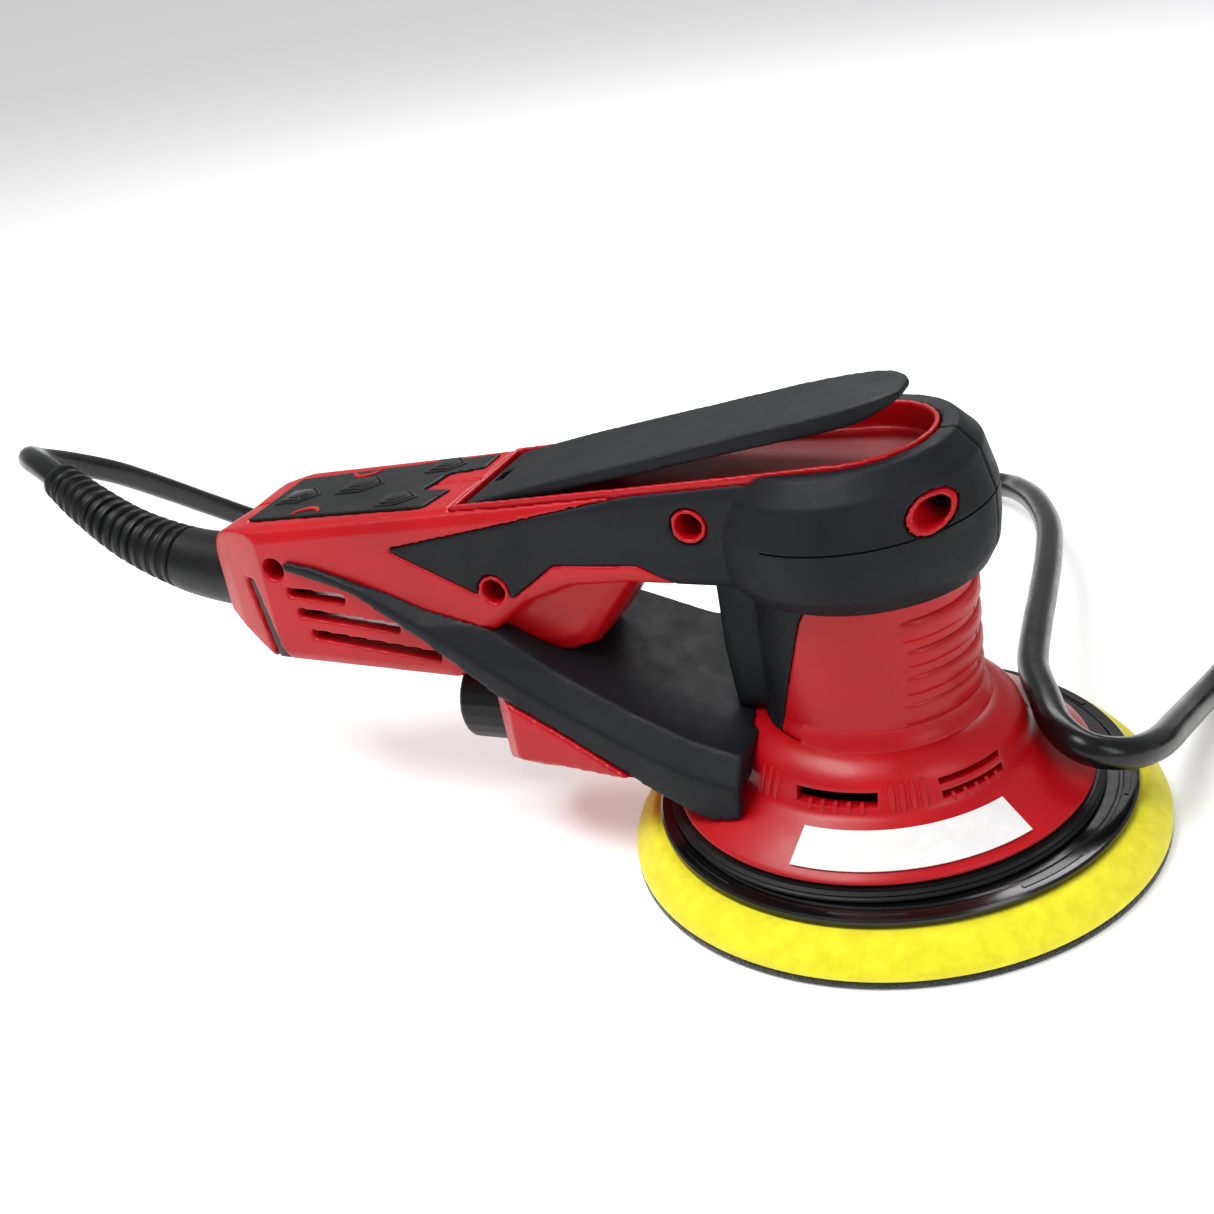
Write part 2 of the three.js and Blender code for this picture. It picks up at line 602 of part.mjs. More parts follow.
const rotor_core = () => named('rotor_core', ring(SHAFT_RADIUS + GAP, ROTOR_RADIUS, 54, 76, 20), steel);
const motor_shaft = () => named('motor_shaft', disc(SHAFT_RADIUS, 25.5, 92, FINE), steel);
const lower_bearing = () => named('lower_bearing', ring(SHAFT_RADIUS + 0.1, 11, 44.5, 51, 16), steel);
const upper_bearing = () => named('upper_bearing', ring(SHAFT_RADIUS + 0.1, 9.5, 84, 90, 16), steel);
const lower_bearing_plate = () => named('lower_bearing_plate',
  turned([[11.3, 44.5], [24, 44.5], [24, 51], [20, 51], [20, 47.5], [14, 47.5], [14, 51], [11.3, 51]], 20),
  aluminium);
const upper_bearing_plate = () => named('upper_bearing_plate',
  turned([[9.8, 84], [24.4, 84], [24.4, 87], [13, 87], [13, 90], [9.8, 90]], 20), blackPlastic);

function fan() {
  const blades = 9;
  const hub = join(ring(SHAFT_RADIUS + GAP, 7.5, 28.2, 35.5, FINE), ring(7, 26, 34, 35.5, 27));
  const spokes = Array.from({ length: blades }, (_, i) =>
    box([7, -0.6, 29], [25.5, 0.6, 34.5]).rotate([0, 0, (360 * i) / blades]));
  return named('fan', join(hub, ...spokes), blackPlastic);
}

// The eccentric carries the pad's bearing off the motor axis, and the weight balances it.
function eccentric_hub() {
  const body = disc(16, 17.8, 27.6, 20);
  const pocket = disc(11.3, 10, 25.2, 16).translate([ORBIT_OFFSET, 0, 0]);
  return named('eccentric_hub', cut(body, pocket, disc(SHAFT_RADIUS + GAP, 20, 40, FINE)), steel);
}

function counterweight() {
  const sector = planSlab(outline([[0, 0], [-40, -30], [-40, 30]]), 10, 40);
  return named('counterweight', ring(16.3, 26, 20, 27.6, 24).intersect(sector), brass);
}

// ---------------------------------------------------------------- pad
const padRing = (profile, segments) => turned(profile, segments).translate([ORBIT_OFFSET, 0, 0]);

function dustHoles() {
  return Array.from({ length: DUST_HOLES }, (_, i) => {
    const angle = (2 * Math.PI * (i + 0.5)) / DUST_HOLES;
    return disc(DUST_HOLE_RADIUS, -5, 40, 8).translate([
      ORBIT_OFFSET + DUST_HOLE_CIRCLE * Math.cos(angle), DUST_HOLE_CIRCLE * Math.sin(angle), 0]);
  });
}

const hook_face = () => named('hook_face', cut(padRing([[0, 0], [PAD_RADIUS, 0], [PAD_RADIUS, HOOK_TOP],
  [0, HOOK_TOP]], 36), ...dustHoles()), hookFabric);
const foam_pad = () => named('foam_pad', cut(padRing([[0, HOOK_TOP + GAP], [PAD_RADIUS, HOOK_TOP + GAP],
  [PAD_RADIUS - 0.4, 5], [71.5, 9], [PAD_TOP_RADIUS, FOAM_TOP], [0, FOAM_TOP]], 36), ...dustHoles()),
yellowFoam);
const backing_plate = () => named('backing_plate', cut(padRing([[0, FOAM_TOP + GAP],
  [PLATE_RADIUS, FOAM_TOP + GAP], [PLATE_RADIUS, PLATE_TOP - 0.6], [PLATE_RADIUS - 2, PLATE_TOP],
  [0, PLATE_TOP]], 36), ...dustHoles()), glossBlack);
const pad_spindle = () => named('pad_spindle', padRing([[0, PLATE_TOP + GAP], [10, PLATE_TOP + GAP], [10, 17],
  [6, 17.6], [6, 24.6], [0, 24.6]], 16), steel);
const pad_bearing = () => named('pad_bearing',
  padRing([[6.3, 18.4], [11, 18.4], [11, 24.8], [6.3, 24.8]], 16), steel);

// ---------------------------------------------------------------- electronics
const controller_board = () => named('controller_board',
  onPanel(box([-26, -16, -6.9], [28, 16, -5.3])), boardGreen);
const power_module = () => named('power_module', box([-172, -16, 58.5], [-128, 16, 76]), aluminium);
const cord_clamp = () => named('cord_clamp', join(
  box([-188, -11, 75.8], [-181, 11, 79]), box([-188, -11, 71], [-181, -6.5, 79]),
  box([-188, 6.5, 71], [-181, 11, 79])), blackPlastic);

// ---------------------------------------------------------------- cord
const bootCurve = new THREE.CatmullRomCurve3([
  [TAIL_END + 8, 0, 71], [TAIL_END - 2, 0, 71], [-228, 1.5, 73], [-253, 5, 79], [-276, 11.5, 87],
  [-292, 18, 92.5],
].map((p) => new THREE.Vector3(...p)));

// A tapered round bar along a curve, from a cylinder bent to follow it.
function taperedBar(curve, radiusAt, sides, steps) {
  const geometry = new THREE.CylinderGeometry(1, 1, 1, sides, steps);
  const frames = curve.computeFrenetFrames(steps, false);
  const place = geometry.attributes.position;
  for (let i = 0; i < place.count; i += 1) {
    const step = Math.round((0.5 - place.getY(i)) * steps);
    const t = step / steps;
    const radius = radiusAt(t);
    const at = curve.getPointAt(t)
      .addScaledVector(frames.normals[step], radius * place.getX(i))
      .addScaledVector(frames.binormals[step], radius * place.getZ(i));
    place.setXYZ(i, at.x, at.y, at.z);
  }
  return solid(geometry);
}

function cord_boot() {
  const straight = 1 / 12;
  const radiusAt = (t) => {
    if (t < straight * 0.9) return 9;
    return THREE.MathUtils.lerp(BOOT_ROOT_RADIUS, BOOT_TIP_RADIUS, (t - straight) / (1 - straight));
  };
  return named('cord_boot', taperedBar(bootCurve, radiusAt, 12, 12), rubber);
}

const cordRoute = [
  [-292.4, 18.2, 92.7], [-302, 22.5, 95], [-312, 28, 95.4], [-322, 36, 93.4], [-329, 47, 88],
  [-330, 62, 80], [-327, 80, 68.5], [-324, 100, 53], [-320, 120, 36.5], [-313, 139, 20.5],
  [-301, 156, 9.8], [-282, 168, 5.8], [-248, 184, 4.8], [-195, 200, 4.6], [-140, 214, 4.6],
  [-85, 226, 4.6], [-42, 230, 4.9], [-16, 218, 8], [-4, 200, 13.5], [6.5, 178, 18.5],
  [16.5, 149, 22.8], [22.5, 119, 25.8], [27, 89, 28.4], [31, 60, 30.8], [35, 37, 32],
  [42, 18.5, 33], [48.5, 4, 32.8], [57.5, -3, 31], [67, 2, 27.4],
  [72.5, 16, 22.6], [74.5, 34, 17.4], [76.5, 54, 11.8], [79.5, 75, 7], [84, 96, 4.8],
  [91, 117, 4.6], [99, 136, 4.6], [106, 153, 4.6], [111.6, 172, 4.6],
].map((p) => new THREE.Vector3(...p));

function cord_tube() {
  const section = new THREE.Shape();
  section.absarc(0, 0, CORD_RADIUS, 0, 2 * Math.PI, false);
  const curve = new THREE.CatmullRomCurve3(cordRoute);
  return named('cord_tube', solid(new THREE.ExtrudeGeometry(section, {
    steps: 60, extrudePath: curve, bevelEnabled: false, curveSegments: 4,
  })), rubber);
}

// The coil's section, grown all round, as a turned ring.
function coilRing(grow) {
  const inner = COIL_MEAN_RADIUS - COIL_HALF_WIDTH - grow;
  const outer = COIL_MEAN_RADIUS + COIL_HALF_WIDTH + grow;
  const [low, high] = [COIL_BOTTOM - grow, COIL_BOTTOM + COIL_HEIGHT + grow];
  const corner = 4.2;
  return turned([[inner, low], [outer - corner, low], [outer, low + corner], [outer, high - corner],
    [outer - corner, high], [inner, high]]);
}

const tieGap = (grow) => box([-8 - grow, 20, -5], [8 + grow, 90, 60]);
const atCoil = (whole) => whole.translate([...COIL_CENTRE, 0]);

const cord_coil = () => named('cord_coil', atCoil(cut(coilRing(0),
  cut(coilRing(2), coilRing(-TIE_DEPTH - GAP)).intersect(tieGap(GAP)))), rubber);
const cord_tie = () => named('cord_tie', atCoil(cut(coilRing(TIE_PROUD), coilRing(-TIE_DEPTH))
  .intersect(tieGap(0))), hookFabric);

// A flat two-pin plug that lies beside the coil, its pins towards -Y.
const PLUG_PLACE = [COIL_CENTRE[0] + COIL_MEAN_RADIUS + COIL_HALF_WIDTH + 1.5, COIL_CENTRE[1] - 24];
const PLUG_THICKNESS = 14;
const PLUG_LENGTH = 44;
const PIN_SPACING = 19;
const PIN_LENGTH = 19;
const atPlug = (whole) => whole.translate([...PLUG_PLACE, 0]);

function plug_body() {
  const shape = outline([[-5.2, 0], [-6.5, -14], [-17, -24], [-18, -36], [-15, -PLUG_LENGTH],
    [15, -PLUG_LENGTH], [18, -36], [17, -24], [6.5, -14], [5.2, 0]]);
  return named('plug_body', atPlug(planSlab(shape, 0, PLUG_THICKNESS)), rubber);
}

const plugPin = (name, side) => named(name, atPlug(crossPin(side * PIN_SPACING / 2, PLUG_THICKNESS / 2, 2.4,
  -PLUG_LENGTH - PIN_LENGTH, -PLUG_LENGTH - GAP)), brass);

// ---------------------------------------------------------------- assembly
const polisher = new THREE.Group();
polisher.add(
  housing_right(), housing_left(), grip_right(), grip_left(), tail_bumper(), recess_tray(),
  paddle(), paddle_pin(), paddle_spring(), microswitch(),
  control_panel(), ...panelButtons(), ...SIDE_SCREWS.map(sideScrew),
  base_housing(), dust_skirt(), label(), duct_cover(), duct_shell(), dust_port(),
  stator(), rotor_core(), motor_shaft(), lower_bearing(), upper_bearing(), lower_bearing_plate(),
  upper_bearing_plate(), fan(), eccentric_hub(), counterweight(),
  hook_face(), foam_pad(), backing_plate(), pad_spindle(), pad_bearing(),
  controller_board(), power_module(), cord_clamp(),
  cord_boot(), cord_tube(), cord_coil(), cord_tie(), plug_body(),
  plugPin('plug_pin_1', -1), plugPin('plug_pin_2', 1),
);

export default polisher;
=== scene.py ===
"""Looks of a dual action polisher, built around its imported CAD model.

Lengths are metres in the part's own frame: +Z up, +X towards the nose, the origin at
the working face of the pad. Millimetre values are written as number * MM.
"""

import json
import math

import bmesh
import bpy
from mathutils import Matrix, Vector


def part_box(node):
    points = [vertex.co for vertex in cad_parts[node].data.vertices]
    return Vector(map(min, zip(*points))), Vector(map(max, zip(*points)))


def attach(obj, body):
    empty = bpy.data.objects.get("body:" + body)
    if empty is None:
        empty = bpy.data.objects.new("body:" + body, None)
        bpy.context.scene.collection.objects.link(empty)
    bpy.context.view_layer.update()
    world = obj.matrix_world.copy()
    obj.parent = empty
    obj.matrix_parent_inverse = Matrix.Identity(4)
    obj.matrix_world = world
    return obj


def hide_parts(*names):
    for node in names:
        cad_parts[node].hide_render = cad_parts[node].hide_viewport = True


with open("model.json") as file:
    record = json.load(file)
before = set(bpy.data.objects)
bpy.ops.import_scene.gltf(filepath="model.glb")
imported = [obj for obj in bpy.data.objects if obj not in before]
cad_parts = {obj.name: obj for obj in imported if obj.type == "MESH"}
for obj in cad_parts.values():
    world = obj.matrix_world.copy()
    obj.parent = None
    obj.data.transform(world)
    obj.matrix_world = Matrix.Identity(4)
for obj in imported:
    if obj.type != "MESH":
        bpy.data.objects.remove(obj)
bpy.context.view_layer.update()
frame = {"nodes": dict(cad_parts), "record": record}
record = frame["record"]
BODY_OF = {node: body for body, nodes in record["behaviour"]["bodies"].items() for node in nodes}
SLOT_OF = {part["node"]: part["material_slot"] for part in record["subparts"]}
MM = 0.001

# ------------------------------------------------------------------ camera
AZIMUTH = math.radians(29.0)
ELEVATION = math.radians(25.7)
ROLL = math.radians(-10.5)
DISTANCE = 0.488
FOCAL = 1.40033                  # focal length over the width of the picture
ORIGIN_RIGHT = 0.166176          # where the origin shows, right of the middle of the view
ORIGIN_DOWN = 0.124235           # and below it, as shares of the distance
SENSOR = 36.0


def make_camera():
    back = Vector((math.sin(AZIMUTH) * math.cos(ELEVATION),
                   -math.cos(AZIMUTH) * math.cos(ELEVATION), math.sin(ELEVATION)))
    level = Vector((math.cos(AZIMUTH), math.sin(AZIMUTH), 0))
    upright = back.cross(level)
    right = math.cos(ROLL) * level + math.sin(ROLL) * upright
    up = math.cos(ROLL) * upright - math.sin(ROLL) * level
    place = back * DISTANCE - right * ORIGIN_RIGHT * DISTANCE + up * ORIGIN_DOWN * DISTANCE
    data = bpy.data.cameras.new("camera")
    data.sensor_width = SENSOR
    data.lens = SENSOR * FOCAL
    data.clip_start = 0.01
    camera = bpy.data.objects.new("camera", data)
    turn = Matrix((right, up, back)).transposed()
    camera.matrix_world = Matrix.Translation(place) @ turn.to_4x4()
    bpy.context.scene.collection.objects.link(camera)
    bpy.context.scene.camera = camera


make_camera()


# ------------------------------------------------------------------ mesh helpers
SOFTEN_FACTOR = 0.5
KEPT_FACES = 0.4                 # share of a moulded piece's faces that is kept
MERGE_DISTANCE = 1e-7
BEVEL_FROM = 30                  # edges sharper than this, in degrees, are bevelled
SHARP_FROM = 40                  # and those that stay sharper than this are shaded sharp


def new_object(name, mesh):
    obj = bpy.data.objects.new(name, mesh)
    bpy.context.scene.collection.objects.link(obj)
    return obj


def from_bmesh(name, bm):
    mesh = bpy.data.meshes.new(name)
    bmesh.ops.recalc_face_normals(bm, faces=bm.faces)
    bm.to_mesh(mesh)
    bm.free()
    return new_object(name, mesh)


def applied(obj):
    """Bakes the object's modifiers into its mesh."""
    graph = bpy.context.evaluated_depsgraph_get()
    mesh = bpy.data.meshes.new_from_object(obj.evaluated_get(graph))
    old = obj.data
    obj.modifiers.clear()
    obj.data = mesh
    bpy.data.meshes.remove(old)
    return obj


def smooth(obj, angle=None):
    for polygon in obj.data.polygons:
        polygon.use_smooth = True
    if angle is not None:
        obj.data.set_sharp_from_angle(angle=math.radians(angle))
    return obj


def settle(obj, body, slot, *nodes):
    """Puts a finished piece on its body and slot, in place of the CAD nodes that it stands for."""
    obj.data.materials.clear()
    obj.data.materials.append(MATERIALS[slot])
    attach(obj, body)
    if nodes:
        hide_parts(*nodes)
    return obj


def round_off(obj, sides):
    """Turns a prism of so many sides about the vertical axis into a true circle."""
    step = 2 * math.pi / sides
    for vertex in obj.data.vertices:
        x, y = vertex.co.x, vertex.co.y
        local = (math.atan2(y, x) % step) - step / 2
        grow = math.cos(local) / math.cos(step / 2)
        vertex.co.x = x * grow
        vertex.co.y = y * grow


def moulded(node, voxel, passes, sides=None):
    """A CAD node with its edges rounded as a moulding's are, in place of the node."""
    obj = new_object("look_" + node, frame["nodes"][node].data.copy())
    remesh = obj.modifiers.new("remesh", "REMESH")
    remesh.mode = "VOXEL"
    remesh.voxel_size = voxel
    applied(obj)
    if sides:
        round_off(obj, sides)
    soften = obj.modifiers.new("soften", "SMOOTH")
    soften.factor = SOFTEN_FACTOR
    soften.iterations = passes
    applied(obj)
    obj.modifiers.new("thin", "DECIMATE").ratio = KEPT_FACES
    applied(obj)
    smooth(obj)
    return settle(obj, BODY_OF[node], SLOT_OF[node], node)


def turned(name, profile, steps):
    """A closed profile of (radius, height) points turned about the vertical axis."""
    bm = bmesh.new()
    rings = []
    for k in range(steps):
        angle = 2 * math.pi * k / steps
        rings.append([bm.verts.new((r * math.cos(angle), r * math.sin(angle), z)) for r, z in profile])
    count = len(profile)
    for k in range(steps):
        here, there = rings[k], rings[(k + 1) % steps]
        for i in range(count):
            j = (i + 1) % count
            on_axis = profile[i][0] == 0 and profile[j][0] == 0
            if not on_axis:
                bm.faces.new((here[i], there[i], there[j], here[j]))
    bmesh.ops.remove_doubles(bm, verts=bm.verts, dist=MERGE_DISTANCE)
    return from_bmesh(name, bm)


def swept(name, profile, low, high, steps, taper=0.0, base=None):
    """A closed (radius, height) profile swept about the vertical axis between two angles, in degrees.

    Towards the ends it sinks to the base profile, over the taper's share of the sweep.
    """
    bm = bmesh.new()
    rings = []
    for k in range(steps + 1):
        share = k / steps
        angle = math.radians(low + (high - low) * share)
        full = 1.0 if not taper else min(1.0, min(share, 1 - share) / taper)
        full = full * full * (3 - 2 * full)
        line = profile if base is None else [
            (b[0] + (p[0] - b[0]) * full, b[1] + (p[1] - b[1]) * full) for p, b in zip(profile, base)]
        rings.append([bm.verts.new((r * math.cos(angle), r * math.sin(angle), z)) for r, z in line])
    count = len(profile)
    for here, there in zip(rings, rings[1:]):
        for i in range(count):
            j = (i + 1) % count
            bm.faces.new((here[i], there[i], there[j], here[j]))
    bm.faces.new(rings[0])
    bm.faces.new(rings[-1][::-1])
    return from_bmesh(name, bm)


def joined(name, pieces):
    """Several meshes as one object."""
    bm = bmesh.new()
    for piece in pieces:
        bm.from_mesh(piece.data)
        mesh = piece.data
        bpy.data.objects.remove(piece)
        bpy.data.meshes.remove(mesh)
    return from_bmesh(name, bm)


def joined_smooth(name, pieces):
    return smooth(joined(name, pieces), SHARP_FROM)


def in_mm(points):
    """Pairs given in millimetres, in metres."""
    return [(a * MM, b * MM) for a, b in points]


def prism(name, outline, low, high, place=None):
    """An outline in X and Y between two heights, then put in its place."""
    bm = bmesh.new()
    lower = [bm.verts.new((x, y, low)) for x, y in outline]
    upper = [bm.verts.new((x, y, high)) for x, y in outline]
    bm.faces.new(lower[::-1])
    bm.faces.new(upper)
    for i in range(len(outline)):
        j = (i + 1) % len(outline)
        bm.faces.new((lower[i], lower[j], upper[j], upper[i]))
    if place is not None:
        bm.transform(place)
    return from_bmesh(name, bm)


def bevelled(obj, width, segments=3):
    bevel = obj.modifiers.new("bevel", "BEVEL")
    bevel.width = width
    bevel.segments = segments
    bevel.limit_method = "ANGLE"
    bevel.angle_limit = math.radians(BEVEL_FROM)
    applied(obj)
    return smooth(obj, SHARP_FROM)


def carved(obj, cutters):
    """Cuts the cutters out of the object and removes them."""
    for cutter in cutters:
        change = obj.modifiers.new("carve", "BOOLEAN")
        change.object = cutter
        change.operation = "DIFFERENCE"
        change.solver = "EXACT"
    bpy.context.view_layer.update()
    applied(obj)
    for cutter in cutters:
        mesh = cutter.data
        bpy.data.objects.remove(cutter)
        bpy.data.meshes.remove(mesh)
    return obj


def arc(centre, radius, start, end, steps):
    """Points round a centre, between two angles in degrees."""
    return [(centre[0] + radius * math.cos(math.radians(start + (end - start) * k / steps)),
             centre[1] + radius * math.sin(math.radians(start + (end - start) * k / steps)))
            for k in range(steps + 1)]


# ------------------------------------------------------------------ materials
MATERIALS = {}
RAMP_START = 0.35                # a noise's values between which one colour turns into the other
RAMP_END = 0.65


class Nodes:
    """A small helper for building one principled material."""

    def __init__(self, name):
        self.material = bpy.data.materials.new(name)
        self.material.use_nodes = True
        self.tree = self.material.node_tree
        self.shader = self.tree.nodes["Principled BSDF"]
        self.place = self.add("ShaderNodeTexCoord").outputs["Object"]
        self.height = None

    def add(self, kind, **values):
        node = self.tree.nodes.new(kind)
        for key, value in values.items():
            setattr(node, key, value)
        return node

    def link(self, output, socket):
        self.tree.links.new(output, socket)

    def noise(self, size, detail=3.0, roughness=0.5):
        node = self.add("ShaderNodeTexNoise")
        node.inputs["Scale"].default_value = 1 / size
        node.inputs["Detail"].default_value = detail
        node.inputs["Roughness"].default_value = roughness
        self.link(self.place, node.inputs["Vector"])
        return node.outputs["Fac"]

    def cells(self, size):
        node = self.add("ShaderNodeTexVoronoi", feature="F1")
        node.inputs["Scale"].default_value = 1 / size
        self.link(self.place, node.inputs["Vector"])
        return node.outputs["Distance"]

    def spread(self, value, low, high, start=0.3, end=0.7):
        node = self.add("ShaderNodeMapRange")
        for key, number in (("From Min", start), ("From Max", end), ("To Min", low), ("To Max", high)):
            node.inputs[key].default_value = number
        self.link(value, node.inputs["Value"])
        return node.outputs["Result"]

    def colours(self, value, first, second):
        node = self.add("ShaderNodeValToRGB")
        node.color_ramp.elements[0].position = RAMP_START
        node.color_ramp.elements[0].color = (*first, 1)
        node.color_ramp.elements[1].position = RAMP_END
        node.color_ramp.elements[1].color = (*second, 1)
        self.link(value, node.inputs["Fac"])
        return node.outputs["Color"]

    def bump(self, value, depth, strength=1.0):
        node = self.add("ShaderNodeBump")
        node.inputs["Strength"].default_value = strength
        node.inputs["Distance"].default_value = depth
        self.link(value, node.inputs["Height"])
        if self.height is not None:
            self.link(self.height, node.inputs["Normal"])
        self.height = node.outputs["Normal"]

    def done(self, slot):
        if self.height is not None:
            self.link(self.height, self.shader.inputs["Normal"])
        MATERIALS[slot] = self.material


def moulding(slot, base, shade, rough, grain, depth, coat=0.0, wear=None, shine=0.3):
    """Moulded plastic or rubber: broad tone changes, patchy gloss, a fine grain and rubbed edges."""
    n = Nodes("mat_" + slot)
    tone = n.colours(n.noise(35 * MM, 4), shade, base)
    if wear is not None:
        edge = n.add("ShaderNodeNewGeometry").outputs["Pointiness"]
        rubbed = n.add("ShaderNodeMix", data_type="RGBA")
        amount = n.add("ShaderNodeMath", operation="MULTIPLY")
        n.link(n.spread(edge, 0.0, 0.5, 0.54, 0.62), amount.inputs[0])
        n.link(n.spread(n.noise(4 * MM, 5), 0.0, 1.0, 0.45, 0.6), amount.inputs[1])
        n.link(amount.outputs[0], rubbed.inputs["Factor"])
        n.link(tone, rubbed.inputs["A"])
        rubbed.inputs["B"].default_value = (*wear, 1)
        tone = rubbed.outputs["Result"]
    n.link(tone, n.shader.inputs["Base Color"])
    n.link(n.spread(n.noise(9 * MM, 5, 0.6), rough[0], rough[1]), n.shader.inputs["Roughness"])
    n.bump(n.noise(grain, 2), depth)
    n.bump(n.noise(14 * MM, 2), 0.05 * MM, 0.4)
    n.shader.inputs["Specular IOR Level"].default_value = shine
    n.shader.inputs["Coat Weight"].default_value = coat
    n.shader.inputs["Coat Roughness"].default_value = 0.25
    n.done(slot)


def metal(slot, base, shade, rough):
    """Metal with patchy gloss and a fine grain."""
    n = Nodes("mat_" + slot)
    n.link(n.colours(n.noise(6 * MM, 5), shade, base), n.shader.inputs["Base Color"])
    n.link(n.spread(n.noise(2 * MM, 4), rough[0], rough[1]), n.shader.inputs["Roughness"])
    n.shader.inputs["Metallic"].default_value = 1.0
    n.bump(n.noise(0.4 * MM, 3), 0.01 * MM, 0.5)
    n.done(slot)


def make_materials():
    moulding("red_plastic", (0.50, 0.0025, 0.008), (0.40, 0.0015, 0.005), (0.30, 0.42),
             0.35 * MM, 0.008 * MM, coat=0.08, wear=(0.62, 0.03, 0.03), shine=0.3)
    moulding("soft_grip", (0.0075, 0.0095, 0.0125), (0.0045, 0.0055, 0.0075), (0.46, 0.62),
             0.5 * MM, 0.03 * MM, wear=(0.03, 0.034, 0.04), shine=0.22)
    moulding("black_plastic", (0.008, 0.009, 0.010), (0.005, 0.0055, 0.006), (0.34, 0.46),
             0.4 * MM, 0.015 * MM, wear=(0.03, 0.03, 0.034), shine=0.28)
    moulding("gloss_black", (0.004, 0.0045, 0.005), (0.0025, 0.0028, 0.003), (0.08, 0.2),
             2 * MM, 0.006 * MM, coat=0.3, shine=0.4)
    moulding("black_rubber", (0.006, 0.0065, 0.007), (0.004, 0.0042, 0.0045), (0.36, 0.5),
             0.45 * MM, 0.02 * MM, shine=0.3)
    moulding("cord_rubber", (0.004, 0.0045, 0.005), (0.0025, 0.0028, 0.003), (0.2, 0.32),
             0.6 * MM, 0.010 * MM, shine=0.4)
    moulding("circuit_board", (0.03, 0.22, 0.10), (0.02, 0.16, 0.07), (0.3, 0.45), 1 * MM, 0.02 * MM)
    metal("steel", (0.62, 0.63, 0.64), (0.50, 0.51, 0.52), (0.22, 0.38))
    metal("dark_steel", (0.045, 0.046, 0.05), (0.03, 0.03, 0.033), (0.32, 0.5))
    metal("aluminium", (0.74, 0.75, 0.76), (0.62, 0.63, 0.65), (0.30, 0.45))
    metal("copper", (0.72, 0.36, 0.18), (0.50, 0.22, 0.10), (0.30, 0.48))
    metal("brass", (0.80, 0.62, 0.30), (0.66, 0.48, 0.20), (0.22, 0.38))
    foam_material()
    hook_material()
    paper_material()


def foam_material():
    n = Nodes("mat_yellow_foam")
    tone = n.colours(n.noise(5 * MM, 5, 0.6), (0.82, 0.72, 0.004), (0.93, 0.86, 0.012))
    n.link(tone, n.shader.inputs["Base Color"])
    n.shader.inputs["Roughness"].default_value = 0.82
    n.shader.inputs["Sheen Weight"].default_value = 0.25
    n.shader.inputs["Subsurface Weight"].default_value = 0.08
    n.shader.inputs["Subsurface Radius"].default_value = (2 * MM, 1.6 * MM, 0.4 * MM)
    n.shader.inputs["Subsurface Scale"].default_value = 1.0
    n.bump(n.cells(0.7 * MM), 0.12 * MM, 0.7)
    n.bump(n.noise(3 * MM, 4), 0.1 * MM, 0.5)
    n.done("yellow_foam")


def hook_material():
    n = Nodes("mat_hook_fabric")
    n.link(n.colours(n.cells(0.9 * MM), (0.028, 0.028, 0.03), (0.009, 0.009, 0.010)),
           n.shader.inputs["Base Color"])
    n.shader.inputs["Roughness"].default_value = 0.88
    n.shader.inputs["Sheen Weight"].default_value = 0.5
    n.bump(n.cells(0.9 * MM), 0.35 * MM, 0.9)
    n.done("hook_fabric")


def paper_material():
    n = Nodes("mat_label_paper")
    n.link(n.colours(n.noise(6 * MM, 6, 0.7), (0.80, 0.80, 0.79), (0.88, 0.88, 0.875)),
           n.shader.inputs["Base Color"])
    n.link(n.spread(n.noise(3 * MM, 4), 0.45, 0.62), n.shader.inputs["Roughness"])
    n.bump(n.noise(0.5 * MM, 4), 0.015 * MM, 0.5)
    n.done("label_paper")


make_materials()
for node, obj in frame["nodes"].items():
    obj.data.materials.clear()
    obj.data.materials.append(MATERIALS[SLOT_OF[node]])
    smooth(obj, 30)

# ------------------------------------------------------------------ cord
CORD_DIAMETER = 9 * MM
CORD_ROUTE = [Vector(point) * MM for point in (
    (-292.4, 18.2, 92.7), (-302, 22.5, 95), (-312, 28, 95.4), (-322, 36, 93.4), (-329, 47, 88),
    (-330, 62, 80), (-327, 80, 68.5), (-324, 100, 53), (-320, 120, 36.5), (-313, 139, 20.5),
    (-301, 156, 9.8), (-282, 168, 5.8), (-248, 184, 4.8), (-195, 200, 4.6), (-140, 214, 4.6),
    (-85, 226, 4.6), (-42, 230, 4.9), (-16, 218, 8), (-4, 200, 13.5), (6.5, 178, 18.5),
    (16.5, 149, 22.8), (22.5, 119, 25.8), (27, 89, 28.4), (31, 60, 30.8), (35, 37, 32),
    (42, 18.5, 33), (48.5, 4, 32.8), (57.5, -3, 31), (67, 2, 27.4),
    (72.5, 16, 22.6), (74.5, 34, 17.4), (76.5, 54, 11.8), (79.5, 75, 7), (84, 96, 4.8),
    (91, 117, 4.6), (99, 136, 4.6), (106, 153, 4.6), (111.6, 172, 4.6),
)]
ROUTE_STEP = 4 * MM
COIL_STEP = 6 * MM
COIL_COLUMNS = 3
COIL_LAYERS = 3
TURN_STEPS = 40
TURN_SHIFT = 0.3                 # share of a turn in which the cord moves over to its new place
SKIPPED_POINTS = 3               # the coil's first points, left out where the cord joins it
PLUG_OVERLAP = 2 * MM            # how far the cord runs into the plug


def through(points, step):
    """Points along a smooth curve through the given ones, about a step apart."""
    line = []
    ends = [points[0] * 2 - points[1], *points, points[-1] * 2 - points[-2]]
    for a, b, c, d in zip(ends, ends[1:], ends[2:], ends[3:]):
        count = max(2, round((c - b).length / step))
        for k in range(count):
            t = k / count
            line.append(0.5 * (2 * b + (c - a) * t + (2 * a - 5 * b + 4 * c - d) * t * t
                               + (3 * b - a - 3 * c + d) * t ** 3))
    return [*line, points[-1]]


